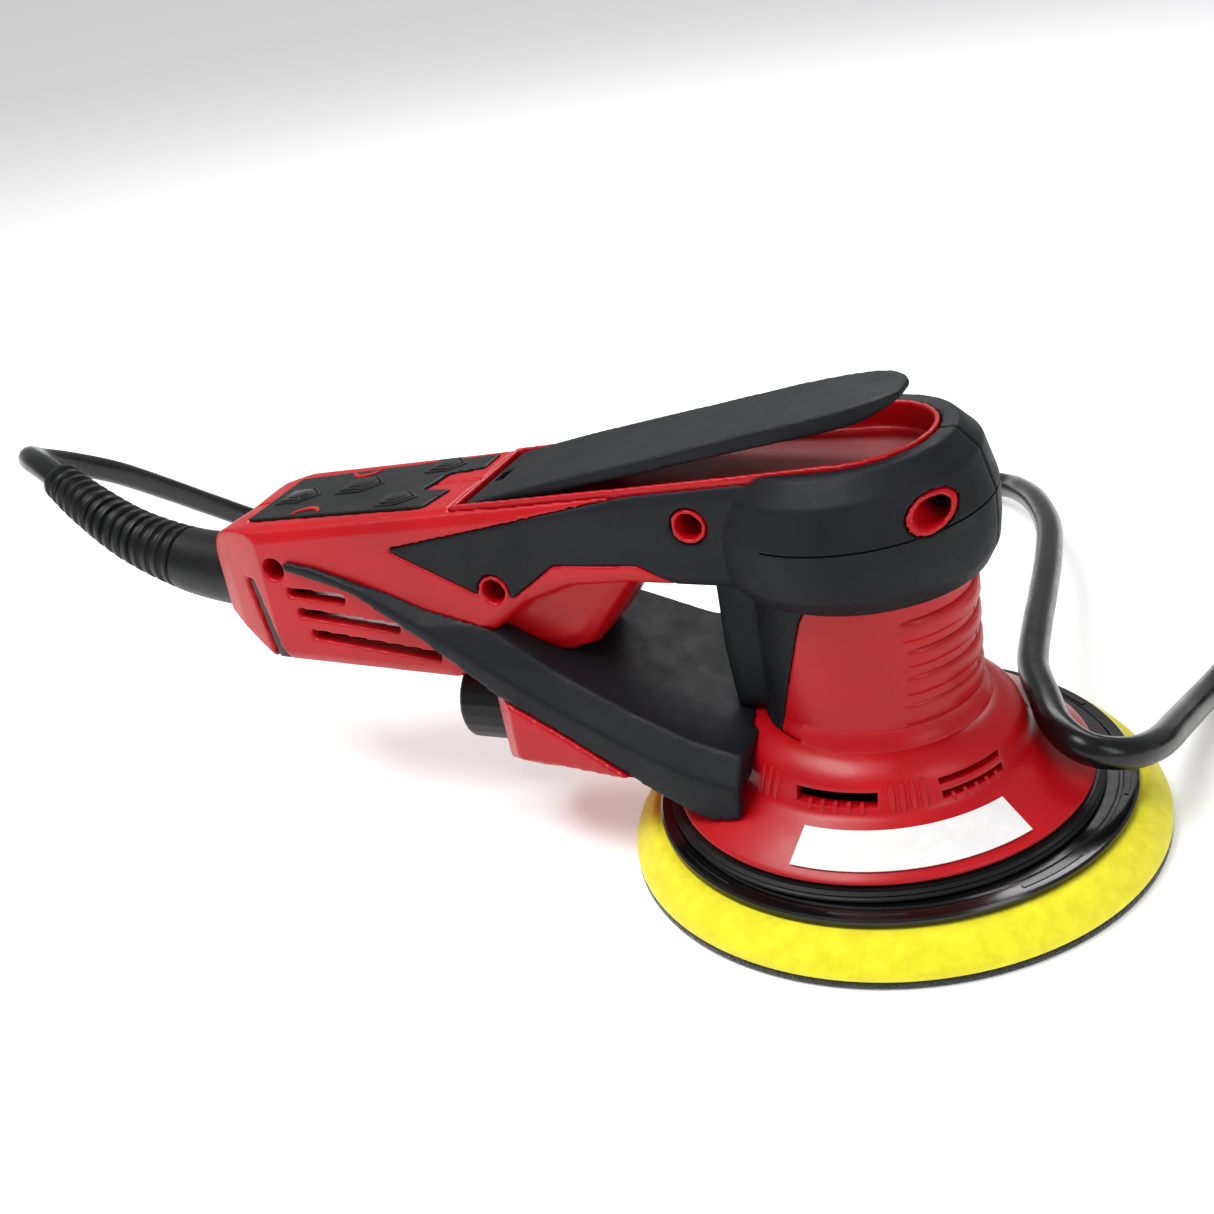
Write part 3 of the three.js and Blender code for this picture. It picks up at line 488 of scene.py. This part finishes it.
def round_coil(centre, angle, radius, height):
    return Vector((centre[0] + radius * math.cos(angle), centre[1] + radius * math.sin(angle), height))


def coil_turns(centre, mean_radius, bottom, start_radius):
    """The put-away length: turns side by side in layers, wound inwards and outwards in turn."""
    middle = (COIL_COLUMNS - 1) / 2
    radii = [mean_radius + (middle - k) * CORD_DIAMETER for k in range(COIL_COLUMNS)]
    order = [(radius, layer) for layer in range(COIL_LAYERS)
             for radius in (radii if layer % 2 == 0 else radii[::-1])]
    points = []
    before = (start_radius, 0)
    for radius, layer in order:
        for k in range(TURN_STEPS):
            share = min(1.0, k / (TURN_STEPS * TURN_SHIFT))
            ease = share * share * (3 - 2 * share)
            r = before[0] + (radius - before[0]) * ease
            z = bottom + CORD_DIAMETER * (0.5 + before[1] + (layer - before[1]) * ease)
            angle = math.pi - 2 * math.pi * k / TURN_STEPS
            points.append(round_coil(centre, angle, r, z))
        before = (radius, layer)
    return points


# The cord's last stretch, over the coil's top and down to the plug: degrees round the coil,
# then millimetres from the coil's middle and from the floor.
LAST_STRETCH = (
    (180, 45, 23.2), (166, 45, 24.5), (152, 46, 28), (138, 49, 31.6), (122, 54, 32.4),
    (106, 60, 32.4), (90, 66, 31.4), (74, 71.5, 27), (58, 75.5, 20), (42, 77.5, 13.5),
    (26, 77.5, 9.5), (10, 75, 7.6), (-6, 71.8, 7.1),
)


def cord_line():
    """The cord's whole middle line, from the boot round the machine and the coil to the plug."""
    low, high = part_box("cord_coil")
    outer = (high[0] - low[0]) / 2
    centre = (low[0] + outer, low[1] + outer)
    mean_radius = outer - COIL_COLUMNS * CORD_DIAMETER / 2
    turns = coil_turns(centre, mean_radius, low[2], outer + CORD_DIAMETER / 2)
    leave = [round_coil(centre, math.radians(degrees), r * MM, z * MM) for degrees, r, z in LAST_STRETCH]
    plug_low, plug_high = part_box("plug_body")
    entry = Vector(((plug_low[0] + plug_high[0]) / 2, plug_high[1], (plug_low[2] + plug_high[2]) / 2))
    leave.append(entry + Vector((0, -PLUG_OVERLAP, 0)))
    seen = through(CORD_ROUTE, ROUTE_STEP)
    put_away = through([CORD_ROUTE[-1], *turns[SKIPPED_POINTS:], *leave], COIL_STEP)
    return seen + put_away[1:]


def make_cord():
    line = cord_line()
    data = bpy.data.curves.new("cord", "CURVE")
    data.dimensions = "3D"
    data.bevel_depth = CORD_DIAMETER / 2
    data.bevel_resolution = 5
    data.use_fill_caps = True
    spline = data.splines.new("POLY")
    spline.points.add(len(line) - 1)
    for point, place in zip(spline.points, line):
        point.co = (*place, 1)
        point.radius = 1
    spline.use_smooth = True
    cord = bpy.data.objects.new("cord", data)
    bpy.context.scene.collection.objects.link(cord)
    data.materials.append(MATERIALS["cord_rubber"])
    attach(cord, BODY_OF["cord_tube"])
    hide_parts("cord_tube", "cord_coil")
    length = sum((b - a).length for a, b in zip(line, line[1:]))
    return cord, length


cord, cord_length = make_cord()
print("cord length", round(cord_length, 3))

# ------------------------------------------------------------------ shells and grips
HEAD_SIDES = 28
SEAM_REACH = (36.7 * MM, 41 * MM)        # the head's parting groove, between these radii
SEAM_HEIGHT = 101.5 * MM
SEAM_LEAN = 0.055                        # its rise towards the nose, per unit of length
SEAM_HALF_WIDTH = 0.28 * MM
SEAM_STEPS = 60


def cut_seam(skin, low, high):
    """A fine groove round the head, rising towards the nose."""
    inner, outer = SEAM_REACH
    half = SEAM_HALF_WIDTH
    section = [(inner, -half), (outer, -half), (outer, half), (inner, half)]
    groove = swept("groove", section, low, high, SEAM_STEPS)
    for vertex in groove.data.vertices:
        vertex.co.z += SEAM_HEIGHT + SEAM_LEAN * vertex.co.x
    carved(skin, [groove])
    smooth(skin, 35)


for shell in ("housing_right", "housing_left"):
    moulded(shell, 0.7 * MM, 4, sides=HEAD_SIDES)
grips = [moulded(skin, 0.6 * MM, 6, sides=HEAD_SIDES) for skin in ("grip_right", "grip_left")]
cut_seam(grips[0], -112, 0)
cut_seam(grips[1], 0, 112)
moulded("duct_cover", 0.8 * MM, 5)
moulded("duct_shell", 0.8 * MM, 6)
moulded("recess_tray", 0.5 * MM, 4)
moulded("paddle", 0.6 * MM, 5)
moulded("tail_bumper", 0.5 * MM, 3)
moulded("dust_port", 0.5 * MM, 2)

# ------------------------------------------------------------------ base
BASE_STEPS = 144
SINGLE_WINDOWS = (-90, 90)               # degrees round the base
PAIR_WINDOWS = (-36, 36)
WINDOW_REACH = (30 * MM, 48 * MM)


def about_axis(degrees):
    return Matrix.Rotation(math.radians(degrees), 4, "Z")


def window(angle, width, low, high):
    """A cutter through the base's wall."""
    half = width / 2
    inner, outer = WINDOW_REACH
    outline = [(inner, -half), (outer, -half), (outer, half), (inner, half)]
    return prism("window", outline, low, high, about_axis(angle))


def make_base():
    outer = [(32.2, 41.7), (34.6, 40.6), (36.9, 38.8), (38.3, 37.4), (39.2, 36), (40.2, 33), (41.2, 30),
             (41.9, 28.9), (43.3, 28.0), (45.5, 26.95), (56.9, 20.6), (57.9, 19.8), (58, 19.1), (57.3, 18.5)]
    inner = [(54.4, 18.5), (38.2, 28.4), (35.2, 35.4), (31.4, 37.6), (30.1, 39), (30.0, 41.2), (30.6, 41.9)]
    base = turned("look_base_housing", in_mm(outer + inner), BASE_STEPS)
    cutters = [window(angle, 22 * MM, 30.8 * MM, 34.8 * MM) for angle in SINGLE_WINDOWS]
    for angle in PAIR_WINDOWS:
        cutters.append(window(angle, 20 * MM, 30.4 * MM, 32.4 * MM))
        cutters.append(window(angle, 20 * MM, 34 * MM, 35.8 * MM))
    outlet = in_mm([(-70, -22), (-28, -22), (-28, 22), (-70, 22)])
    cutters.append(prism("outlet", outlet, 20 * MM, 33 * MM))
    carved(base, cutters)
    bevelled(base, 0.35 * MM, 2)
    settle(base, BODY_OF["base_housing"], "red_plastic", "base_housing")


FLUTE_GROUPS = (                         # degrees from the nose; bottom, top and radius in mm
    ((69, 65, 61, 57), 29.0, 36.8, 1.0),
    ((100, 95, 90, 85, 80), 28.8, 32.2, 0.8),
    ((46, 41, 36, 31, 26), 28.8, 31.4, 0.7),
    ((116, 120, 124), 29.0, 36.8, 1.0),
)
FLUTE_SIDES = 10
FLUTE_STEPS = 6
FLUTE_SINK = 0.35                        # how far its middle line lies inside the wall, in mm
FLUTE_STRETCH = 1.05                     # its width over its depth


def base_wall_radius(z):
    """Radius of the base's upright wall at a height, both in mm."""
    return 41.5 - (z - 29.2) * 0.333


def flute(angle, low, high, radius):
    """An upright rib on the base's wall with rounded ends."""
    bm = bmesh.new()
    rings = []
    for k in range(FLUTE_STEPS + 1):
        share = k / FLUTE_STEPS
        z = low + (high - low) * share
        swell = radius * math.sin(math.pi * (0.12 + 0.76 * share)) ** 0.5
        ring = []
        for i in range(FLUTE_SIDES):
            turn = 2 * math.pi * i / FLUTE_SIDES
            out = base_wall_radius(z) - FLUTE_SINK + swell * math.cos(turn)
            ring.append(bm.verts.new((out * MM, FLUTE_STRETCH * swell * math.sin(turn) * MM, z * MM)))
        rings.append(ring)
    for here, there in zip(rings, rings[1:]):
        for i in range(FLUTE_SIDES):
            j = (i + 1) % FLUTE_SIDES
            bm.faces.new((here[i], here[j], there[j], there[i]))
    bm.faces.new(rings[0][::-1])
    bm.faces.new(rings[-1])
    bm.transform(about_axis(angle))
    return from_bmesh("flute", bm)


def make_flutes():
    """Upright ribs on the base's wall between the windows, and the teeth of the window sills."""
    pieces = [flute(side * angle, low, high, radius) for side in (-1, 1)
              for angles, low, high, radius in FLUTE_GROUPS for angle in angles]
    settle(smooth(joined("base_flutes", pieces), 50), BODY_OF["base_housing"], "red_plastic")


def make_skirt():
    profile = [(53.5, 15.7), (60.2, 15.6), (60.6, 15.8), (60.5, 16.3), (59.6, 16.7), (59.9, 17.1),
               (58.6, 17.6), (58.7, 18.0), (53.5, 18.2)]
    skirt = turned("look_dust_skirt", in_mm(profile), BASE_STEPS)
    settle(smooth(skirt, 50), BODY_OF["dust_skirt"], "black_rubber", "dust_skirt")


LABEL_EDGES = ((55.9 * MM, 21.75 * MM), (45.9 * MM, 27.35 * MM))     # lower and upper, on the cone
LABEL_SKIN = (0.12 * MM, 0.22 * MM)      # its thickness, outwards and upwards
LABEL_REACH = (-99, -31)
LABEL_STEPS = 6


def make_label():
    """The blank rating label, bent round the cone of the base."""
    low, high = LABEL_EDGES
    face = [(low[0] + (high[0] - low[0]) * k / LABEL_STEPS, low[1] + (high[1] - low[1]) * k / LABEL_STEPS)
            for k in range(LABEL_STEPS + 1)]
    profile = [(r + LABEL_SKIN[0], z + LABEL_SKIN[1]) for r, z in face] + face[::-1]
    label = swept("look_label", profile, *LABEL_REACH, 60)
    settle(smooth(label, 50), BODY_OF["label"], "label_paper", "label")


NECK_RADIUS = 29.35
NECK_RIBS = (                            # bottom, top and depth in mm; half the sweep in degrees
    (47, 53.5, 0.75, 66), (55.5, 61.5, 0.9, 62), (63.5, 69, 1.0, 60), (71, 77.5, 1.25, 62))


def make_neck_ribs():
    """Shallow steps on the nose side of the neck."""
    pieces = []
    r = NECK_RADIUS
    for low, high, proud, reach in NECK_RIBS:
        profile = [(r, low), (r + proud * 0.7, low + 0.5), (r + proud, low + 1.5), (r + proud, high - 1.6),
                   (r + proud * 0.6, high - 0.5), (r, high)]
        base = [(r - 0.4, z) for _, z in profile]
        back = [(r - 1.2, high), (r - 1.2, low)]
        pieces.append(swept("rib", in_mm(profile + back), -reach, reach, 70, 0.12, in_mm(base + back)))
    settle(smooth(joined("neck_ribs", pieces), 50), "housing", "red_plastic")


def make_neck_collar():
    """The fillet where the neck meets the base."""
    profile = [(29.0, 41.75), (31.8, 41.75), (31.6, 42.6), (30.8, 43.9), (30.1, 45.4), (29.7, 47),
               (29.0, 47.2)]
    collar = swept("neck_collar", in_mm(profile), -112, 112, 100)
    settle(smooth(collar, 50), "housing", "red_plastic")


make_base()
make_flutes()
make_skirt()
make_label()
make_neck_ribs()
make_neck_collar()

# ------------------------------------------------------------------ pad
ORBIT = Vector((2.5 * MM, 0, 0))         # the pad's middle, off the motor axis
PAD_STEPS = 160
HOLE_CIRCLE = 42 * MM
HOLE_RADIUS = 5 * MM
HOLES = 8
PLATE_FIELDS = 8
FIELD_OFFSET = 10                        # degrees
FIELD_HALF_SWEEP = 9
FIELD_SECTION = ((62.9, 14.7), (64.5, 14.7), (64.3, 15.3), (63.1, 15.3))


def pad_piece(node, slot, profile, angle=50):
    """A turned piece of the pad with its dust holes."""
    piece = turned("look_" + node, in_mm(profile), PAD_STEPS)
    holes = []
    for k in range(HOLES):
        turn = 2 * math.pi * (k + 0.5) / HOLES
        centre = (HOLE_CIRCLE * math.cos(turn), HOLE_CIRCLE * math.sin(turn))
        holes.append(prism("hole", arc(centre, HOLE_RADIUS, 0, 345, 23), -5 * MM, 30 * MM))
    carved(piece, holes)
    piece.data.transform(Matrix.Translation(ORBIT))
    smooth(piece, angle)
    return settle(piece, BODY_OF[node], slot, node)


foam = pad_piece("foam_pad", "yellow_foam", [
    (0, 2.2), (74.6, 2.2), (75, 2.6), (75, 4.2), (74.5, 5.6), (73.2, 7.6), (71.6, 9.4), (69.9, 11.1),
    (68.9, 11.8), (67.8, 12.0), (0, 12.0)])
pad_piece("hook_face", "hook_fabric", [
    (0, 0.0), (74.4, 0.0), (74.9, 0.3), (75, 1.0), (74.8, 1.9), (74.4, 2.15), (0, 2.15)])
pad_piece("backing_plate", "gloss_black", [
    (0, 12.2), (66, 12.2), (66.5, 12.7), (66.5, 14.2), (65.9, 14.8), (64.6, 15.0), (62.6, 15.0), (62.2, 14.6),
    (61.4, 14.6), (61, 15.0), (0, 15.0)], 35)


def make_plate_pads():
    """Raised fields on the rim of the backing plate."""
    pieces = []
    for k in range(PLATE_FIELDS):
        middle = 360 / PLATE_FIELDS * k + FIELD_OFFSET
        pieces.append(swept("field", in_mm(FIELD_SECTION), middle - FIELD_HALF_SWEEP,
                            middle + FIELD_HALF_SWEEP, 16))
    piece = joined("plate_fields", pieces)
    piece.data.transform(Matrix.Translation(ORBIT))
    settle(smooth(piece, 40), "pad", "gloss_black")


make_plate_pads()

# ------------------------------------------------------------------ control panel
PANEL_CENTRE = Vector((-157, 0, 99.2)) * MM
PANEL_SLOPE = math.atan(7 / 62)
PANEL_PLACE = Matrix.Translation(PANEL_CENTRE) @ Matrix.Rotation(-PANEL_SLOPE, 4, "Y")
BUTTON_PLACES = {                        # place on the panel in mm, and size
    "power_button": (-20, 0, 1.15), "speed_button": (1, 4, 1.25),
    "plus_button": (23, -10.5, 1), "minus_button": (27, 13, 1)}
DISH_SIZE = 0.62                         # of the raised arrow on a key, over the key's own
CRESCENTS = (                            # name, centre, first and last degree, and the inner arc's shift
    ("crescent_near", (-8.5, -15.8), 15, 165, -2.2),
    ("crescent_far", (-4, 15.6), 195, 345, 2.2),
)
CRESCENT_RADIUS = 5.2
CRESCENT_INNER_RADIUS = 5.4
CRESCENT_TAPER = 10                      # degrees by which the inner arc is shorter at each end
CRESCENT_STEPS = 14


def chevron(x, y, size, grow):
    """The outline of a key, pointing at the nose and grown by so many mm."""
    half = 3.6 * size + grow
    return [((x - 4.5 * size - grow) * MM, (y - half) * MM), ((x + 1.6 * size) * MM, (y - half) * MM),
            ((x + 5.2 * size + grow) * MM, y * MM), ((x + 1.6 * size) * MM, (y + half) * MM),
            ((x - 4.5 * size - grow) * MM, (y + half) * MM)]


def make_panel():
    moulded("control_panel", 0.4 * MM, 2)
    for name, (x, y, size) in BUTTON_PLACES.items():
        cap = prism("look_" + name, chevron(x, y, size, 0), -2.2 * MM, 1.25 * MM, PANEL_PLACE)
        bevelled(cap, 0.45 * MM)
        dish = prism("dish_" + name, chevron(x, y, size * DISH_SIZE, 0), 0.9 * MM, 1.5 * MM, PANEL_PLACE)
        bevelled(dish, 0.25 * MM)
        settle(joined_smooth("look_" + name, [cap, dish]), name, SLOT_OF[name], name)
        rim = prism("rim_" + name, chevron(x, y, size, 1.5), 0.3 * MM, 0.95 * MM, PANEL_PLACE)
        carved(rim, [prism("rim_hole", chevron(x, y, size, 0.45), -1 * MM, 3 * MM, PANEL_PLACE)])
        settle(bevelled(rim, 0.2 * MM, 2), "housing", "black_plastic")


def make_crescents():
    """Two red half moons where the shell shows through the panel's edges."""
    for name, centre, start, end, shift in CRESCENTS:
        outer = arc(centre, CRESCENT_RADIUS, start, end, CRESCENT_STEPS)
        middle = (centre[0], centre[1] + shift)
        inner = arc(middle, CRESCENT_INNER_RADIUS, end - CRESCENT_TAPER, start + CRESCENT_TAPER,
                    CRESCENT_STEPS)
        piece = prism(name, in_mm(outer + inner), 0.2 * MM, 1.0 * MM, PANEL_PLACE)
        settle(bevelled(piece, 0.2 * MM, 2), "housing", "red_plastic")


make_panel()
make_crescents()

# ------------------------------------------------------------------ cord boot and plug
BOOT_LINE = [Vector(point) * MM for point in (
    (-195, 0, 71), (-205, 0, 71), (-228, 1.5, 73), (-253, 5, 79), (-276, 11.5, 87), (-293.5, 18.8, 93))]
BOOT_ROOT = 12.2 * MM
BOOT_TIP = 6.7 * MM
BOOT_RIBS = 15
ROOT_SHARE = 0.06                        # the part inside the tail, as a share of the boot's length
ROOT_NECK = 9 * MM
PLAIN_SHARE = 0.34                       # the smooth part ends here
GROOVE_DEPTH = 1.5 * MM
GROOVE_FLAT = 0.18                       # half of a groove's floor and its slope, as shares of a rib
GROOVE_SLOPE = 0.12
BOOT_STEP = 0.45 * MM
TUBE_SIDES = 28


def tube(name, line, radius_at):
    """A round bar along a line, its radius given by the share of the way along."""
    bm = bmesh.new()
    lengths = [0.0]
    for a, b in zip(line, line[1:]):
        lengths.append(lengths[-1] + (b - a).length)
    rings = []
    for k, place in enumerate(line):
        ahead = line[min(k + 1, len(line) - 1)] - line[max(k - 1, 0)]
        across = ahead.cross(Vector((0, 0, 1))).normalized()
        over = across.cross(ahead).normalized()
        radius = radius_at(lengths[k] / lengths[-1])
        angles = [2 * math.pi * i / TUBE_SIDES for i in range(TUBE_SIDES)]
        rings.append([bm.verts.new(place + radius * (math.cos(angle) * across + math.sin(angle) * over))
                      for angle in angles])
    for here, there in zip(rings, rings[1:]):
        for i in range(TUBE_SIDES):
            j = (i + 1) % TUBE_SIDES
            bm.faces.new((here[i], here[j], there[j], there[i]))
    bm.faces.new(rings[0][::-1])
    bm.faces.new(rings[-1])
    return from_bmesh(name, bm)


def boot_radius(share):
    """A cone with a thin root inside the tail and grooves between its ribs."""
    if share < ROOT_SHARE:
        return ROOT_NECK
    radius = BOOT_ROOT + (BOOT_TIP - BOOT_ROOT) * (share - ROOT_SHARE) / (1 - ROOT_SHARE)
    if share > PLAIN_SHARE:
        wave = ((share - PLAIN_SHARE) / (1 - PLAIN_SHARE) * BOOT_RIBS) % 1
        from_groove = 0.5 - abs(wave - 0.5)
        radius -= GROOVE_DEPTH * min(1.0, max(0.0, 1 - (from_groove - GROOVE_FLAT) / GROOVE_SLOPE))
    return radius


def make_boot():
    boot = tube("look_cord_boot", through(BOOT_LINE, BOOT_STEP), boot_radius)
    settle(smooth(boot, 50), BODY_OF["cord_boot"], "black_rubber", "cord_boot")
    return boot


boot = make_boot()


# The plug in millimetres, from the cord's end along the plug.
PLUG_OUTLINE = ((-5.2, 0), (5.2, 0), (6.2, 12), (8, 16), (15.5, 22), (17.6, 27), (18, 36), (17, 41.5),
                (14.5, 44), (-14.5, 44), (-17, 41.5), (-18, 36), (-17.6, 27), (-15.5, 22), (-8, 16),
                (-6.2, 12))
PLUG_FIELD = ((-9, 26), (9, 26), (11, 29), (11, 37), (9, 40), (-9, 40), (-11, 37), (-11, 29))
PLUG_BARS = ((1, 5.7), (4.2, 6.0), (7.4, 6.3), (10.6, 6.6))       # start and half width
PLUG_BAR_LENGTH = 1.6
PIN_RADII = ((0.9, 2.4), (0.97, 1.9))    # up to this share of the pin's length, this radius
PIN_TIP_RADIUS = 1.2


def plug_bar(start, half, low, high, place):
    """A raised bar across the plug's sleeve."""
    end = start + PLUG_BAR_LENGTH
    bar = prism("plug_bar", in_mm([(-half, start), (half, start), (half, end), (-half, end)]),
                low, high, place)
    return bevelled(bar, 0.5 * MM, 2)


def pin_radius(share):
    for limit, radius in PIN_RADII:
        if share < limit:
            return radius * MM
    return PIN_TIP_RADIUS * MM


def make_plug():
    """The plug body with a raised grip frame, a ribbed sleeve and two pins."""
    low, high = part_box("plug_body")
    middle = (low[0] + high[0]) / 2
    place = Matrix.Translation((middle, high[1], 0)) @ about_axis(180)
    body = prism("plug_shell", in_mm(PLUG_OUTLINE), low[2], high[2], place)
    bevelled(body, 2.2 * MM, 4)
    field = prism("plug_field", in_mm(PLUG_FIELD), high[2] - 1 * MM, high[2] + 0.8 * MM, place)
    bevelled(field, 0.6 * MM, 3)
    bars = [plug_bar(start, half, low[2] + 2.5 * MM, high[2] - 2.2 * MM, place)
            for start, half in PLUG_BARS]
    plug = joined_smooth("look_plug_body", [body, field, *bars])
    settle(plug, BODY_OF["plug_body"], "cord_rubber", "plug_body")
    pins = []
    for node in ("plug_pin_1", "plug_pin_2"):
        p_low, p_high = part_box(node)
        x, z = (p_low[0] + p_high[0]) / 2, (p_low[2] + p_high[2]) / 2
        line = [Vector((x, y, z)) for y in (
            p_high[1] + 0.4 * MM, p_high[1] - 6 * MM, p_low[1] + 2 * MM, p_low[1] + 0.8 * MM, p_low[1])]
        pin = tube("look_" + node, line, pin_radius)
        settle(smooth(pin, 40), BODY_OF[node], "brass", node)
        pins.append(pin)
    return [plug, *pins]


plug_pieces = make_plug()

# ------------------------------------------------------------------ stage and light
FLOOR_SIZE = 6.0
FLOOR_DROP = 0.2 * MM                    # keeps the floor clear of the pad's face
WORLD_STRENGTH = 0.34
LIT_POINT = (-0.08, 0, 0.06)
LIGHTS = (                               # name, place, size and power
    ("key", (-0.45, -0.35, 1.25), (0.9, 0.5), 15),
    ("fill", (0.95, -0.45, 0.7), (0.4, 0.7), 3),
    ("back", (-0.2, 0.9, 0.9), (0.9, 0.3), 6),
)


def make_floor():
    bm = bmesh.new()
    bmesh.ops.create_grid(bm, x_segments=1, y_segments=1, size=FLOOR_SIZE)
    floor = from_bmesh("floor", bm)
    floor.location.z = -FLOOR_DROP
    n = Nodes("mat_floor")
    n.shader.inputs["Base Color"].default_value = (0.9, 0.9, 0.9, 1)
    n.shader.inputs["Roughness"].default_value = 0.95
    n.shader.inputs["Specular IOR Level"].default_value = 0.1
    n.shader.inputs["Emission Color"].default_value = (1, 1, 1, 1)
    n.shader.inputs["Emission Strength"].default_value = 0.3
    floor.data.materials.append(n.material)


def area_light(name, place, target, size, power):
    data = bpy.data.lights.new(name, "AREA")
    data.shape = "RECTANGLE"
    data.size, data.size_y = size
    data.energy = power
    light = bpy.data.objects.new(name, data)
    light.location = place
    light.rotation_euler = (Vector(target) - Vector(place)).to_track_quat("-Z", "Y").to_euler()
    bpy.context.scene.collection.objects.link(light)


def make_lights():
    world = bpy.data.worlds.new("studio")
    world.use_nodes = True
    world.node_tree.nodes["Background"].inputs["Color"].default_value = (1, 1, 1, 1)
    world.node_tree.nodes["Background"].inputs["Strength"].default_value = WORLD_STRENGTH
    bpy.context.scene.world = world
    for name, place, size, power in LIGHTS:
        area_light(name, place, LIT_POINT, size, power)


make_floor()
make_lights()
bpy.context.scene.view_settings.view_transform = "Standard"
